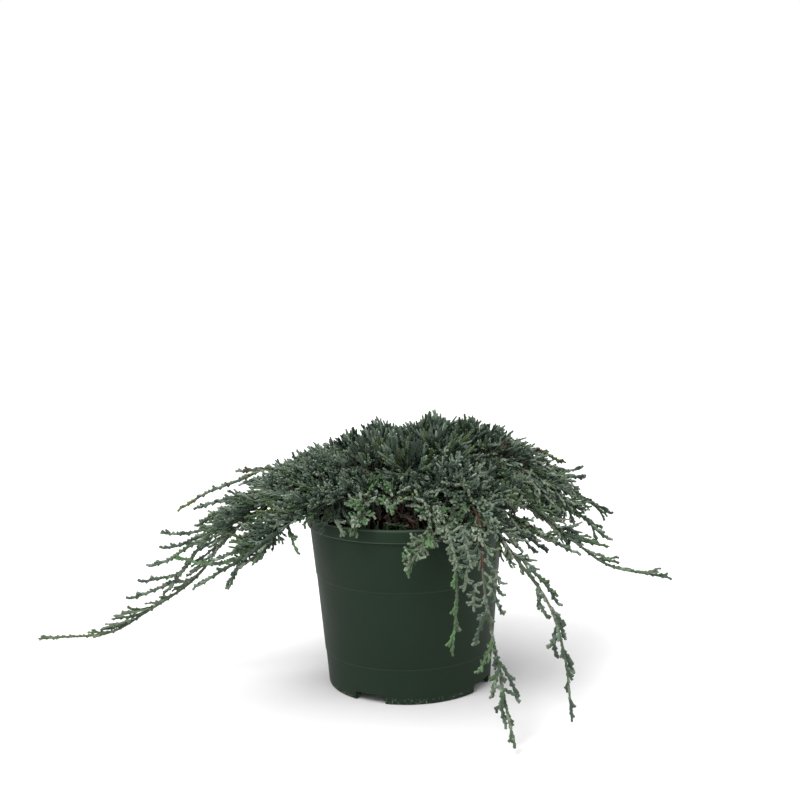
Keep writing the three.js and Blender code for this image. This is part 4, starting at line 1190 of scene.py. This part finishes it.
def cords(shoots, rings, profile, knob, plait):
    # tapering rods of plaited scale leaves: every second corner of a ring is drawn in
    sides = cordValues["sides"]
    shares = np.linspace(0, cordValues["lastRing"], rings)
    swell = np.interp(shares, cordValues["stations"], profile) * (1 - knob * (-1) ** np.arange(rings))
    side = unit(np.cross(shoots["direction"], shoots["normal"]))
    over = np.cross(side, shoots["direction"])
    here = np.arange(sides)
    rays = turned(side[:, None, :], over[:, None, :], 2 * math.pi * here / sides)
    ringPoints = []
    for i in range(rings):
        drawn = np.where((i + here) % 2 == 0, 1, plait)
        reach = (shoots["width"] / 2)[:, None] * (swell[i] * drawn)
        ringPoints.append(shootPoints(shoots, shares[i])[:, None, :] + rays * reach[:, :, None])
    points = np.concatenate(ringPoints + [shootPoints(shoots, 1)[:, None, :]], axis=1)
    after = (here + 1) % sides
    corners = np.stack([here, after, after + sides, here + sides], 1)
    quads = np.vstack([corners + i * sides for i in range(rings - 1)])
    last = (rings - 1) * sides
    tips = np.stack([last + here, last + after, np.full(sides, rings * sides)], 1)
    starts = (np.arange(len(points)) * (rings * sides + 1))[:, None, None]
    return points.reshape(-1, 3), (quads + starts).reshape(-1, 4), (tips + starts).reshape(-1, 3)


def rods(shoots, profile, knob):  # rings stand as far apart on long shoots as on short ones
    v = cordValues
    rings = np.clip(np.round(shoots["length"] / v["ringStep"]), *v["ringCounts"]).astype(int)
    return [cords(chosen(shoots, rings == count), count, profile, knob, v["plait"])
            for count in np.unique(rings)]


# Scale leaves: a waxy bloom that dulls the shine to a soft sheen.
def leafPaint(tree, place):
    scaleLeaf = noiseNode(tree, place, 1.2)
    return {"Normal": bumpNode(tree, scaleLeaf, 0.5, 0.3),
            "Roughness": rangeNode(tree, scaleLeaf, 0, 1, 0.5, 0.75)}


foliageNodes = [stem["node"] for stem in stems]
for tone, (toneName, colour) in enumerate(tones.items()):
    sets = []
    for batch in collected:
        for key, rodValue in rodValues.items():
            if key in batch:
                sets += rods(chosen(batch[key], batch[key]["tone"] == tone), *rodValue)
    triangles = sum(len(quads) * 2 + len(tips) for _, quads, tips in sets)
    pieceCount = math.ceil(triangles / cordValues["mostTriangles"])
    material = newMaterial("scale leaves " + toneName.replace("_", " "), {
        "Base Color": colour, "Specular IOR Level": 0.3, "IOR": 1.45}, leafPaint)
    for n in range(pieceCount):
        suffix = "_" + "abcdef"[n] if pieceCount > 1 else ""
        piece = pieceFromArrays("leaves_" + toneName + suffix, sets[n::pieceCount])
        dress(piece, "foliage", material, foliageNodes)

print("stage: twigs and stems")

allTwigs = joined([batch["twigs"] for batch in collected])
allTwigs["width"] = np.full(len(allTwigs["length"]), twigValues["width"])
twigPiece = pieceFromArrays("twigs", [cords(allTwigs, twigValues["rings"], twigValues["profile"], 0, 1)])
twigPiece.data.shade_smooth()
dress(twigPiece, "bark", barkMaterial("twig bark", "#4d4334", "#3f3426", 0.8), foliageNodes)


def stemRadiusAt(share):
    return limbRadiusAt(share) * barkValues["stemShare"]


def stemPiece(name, stemsHere, v):
    return rodPiece(name, [
        (stem["line"], stem["start"], min(stem["end"], stemEnds.get(stem["limb"], 1)), v["stemSides"],
         stemRadiusAt, v["stemRelief"], stem["seed"]) for stem in stemsHere])


redEnd = 0.54  # the share of the front's long limb where its red skin turns grey
firstRed, lastRed = "foliage_front_red", "foliage_front_red_middle"
openStems = [stem for stem in stems if stem["kind"] in ("trail", "fall")]
oldStems = [stem for stem in stems
            if stem["kind"] not in ("trail", "fall") and stem["node"] != firstRed]
youngStems = [{**stem, "end": redEnd} for stem in stems if stem["node"] == firstRed]
greenStems = [{**stem, "start": redEnd} if stem["node"] == lastRed else stem for stem in openStems]
for name, slot, stemsHere, skin in (
        ("stems_old", "bark", oldStems, ("limb bark", "#54483c", "#46342a", 0.85)),
        ("stems_young", "bark", youngStems, ("young red bark", "#3f2a22", "#4b2c25", 0.65)),
        ("stems_green", "foliage", greenStems, ("green stem", "#474c41", "#49463b", 0.7))):
    nodes = [stem["node"] for stem in stemsHere]
    dress(stemPiece(name, stemsHere, barkValues), slot, barkMaterial(*skin), nodes)
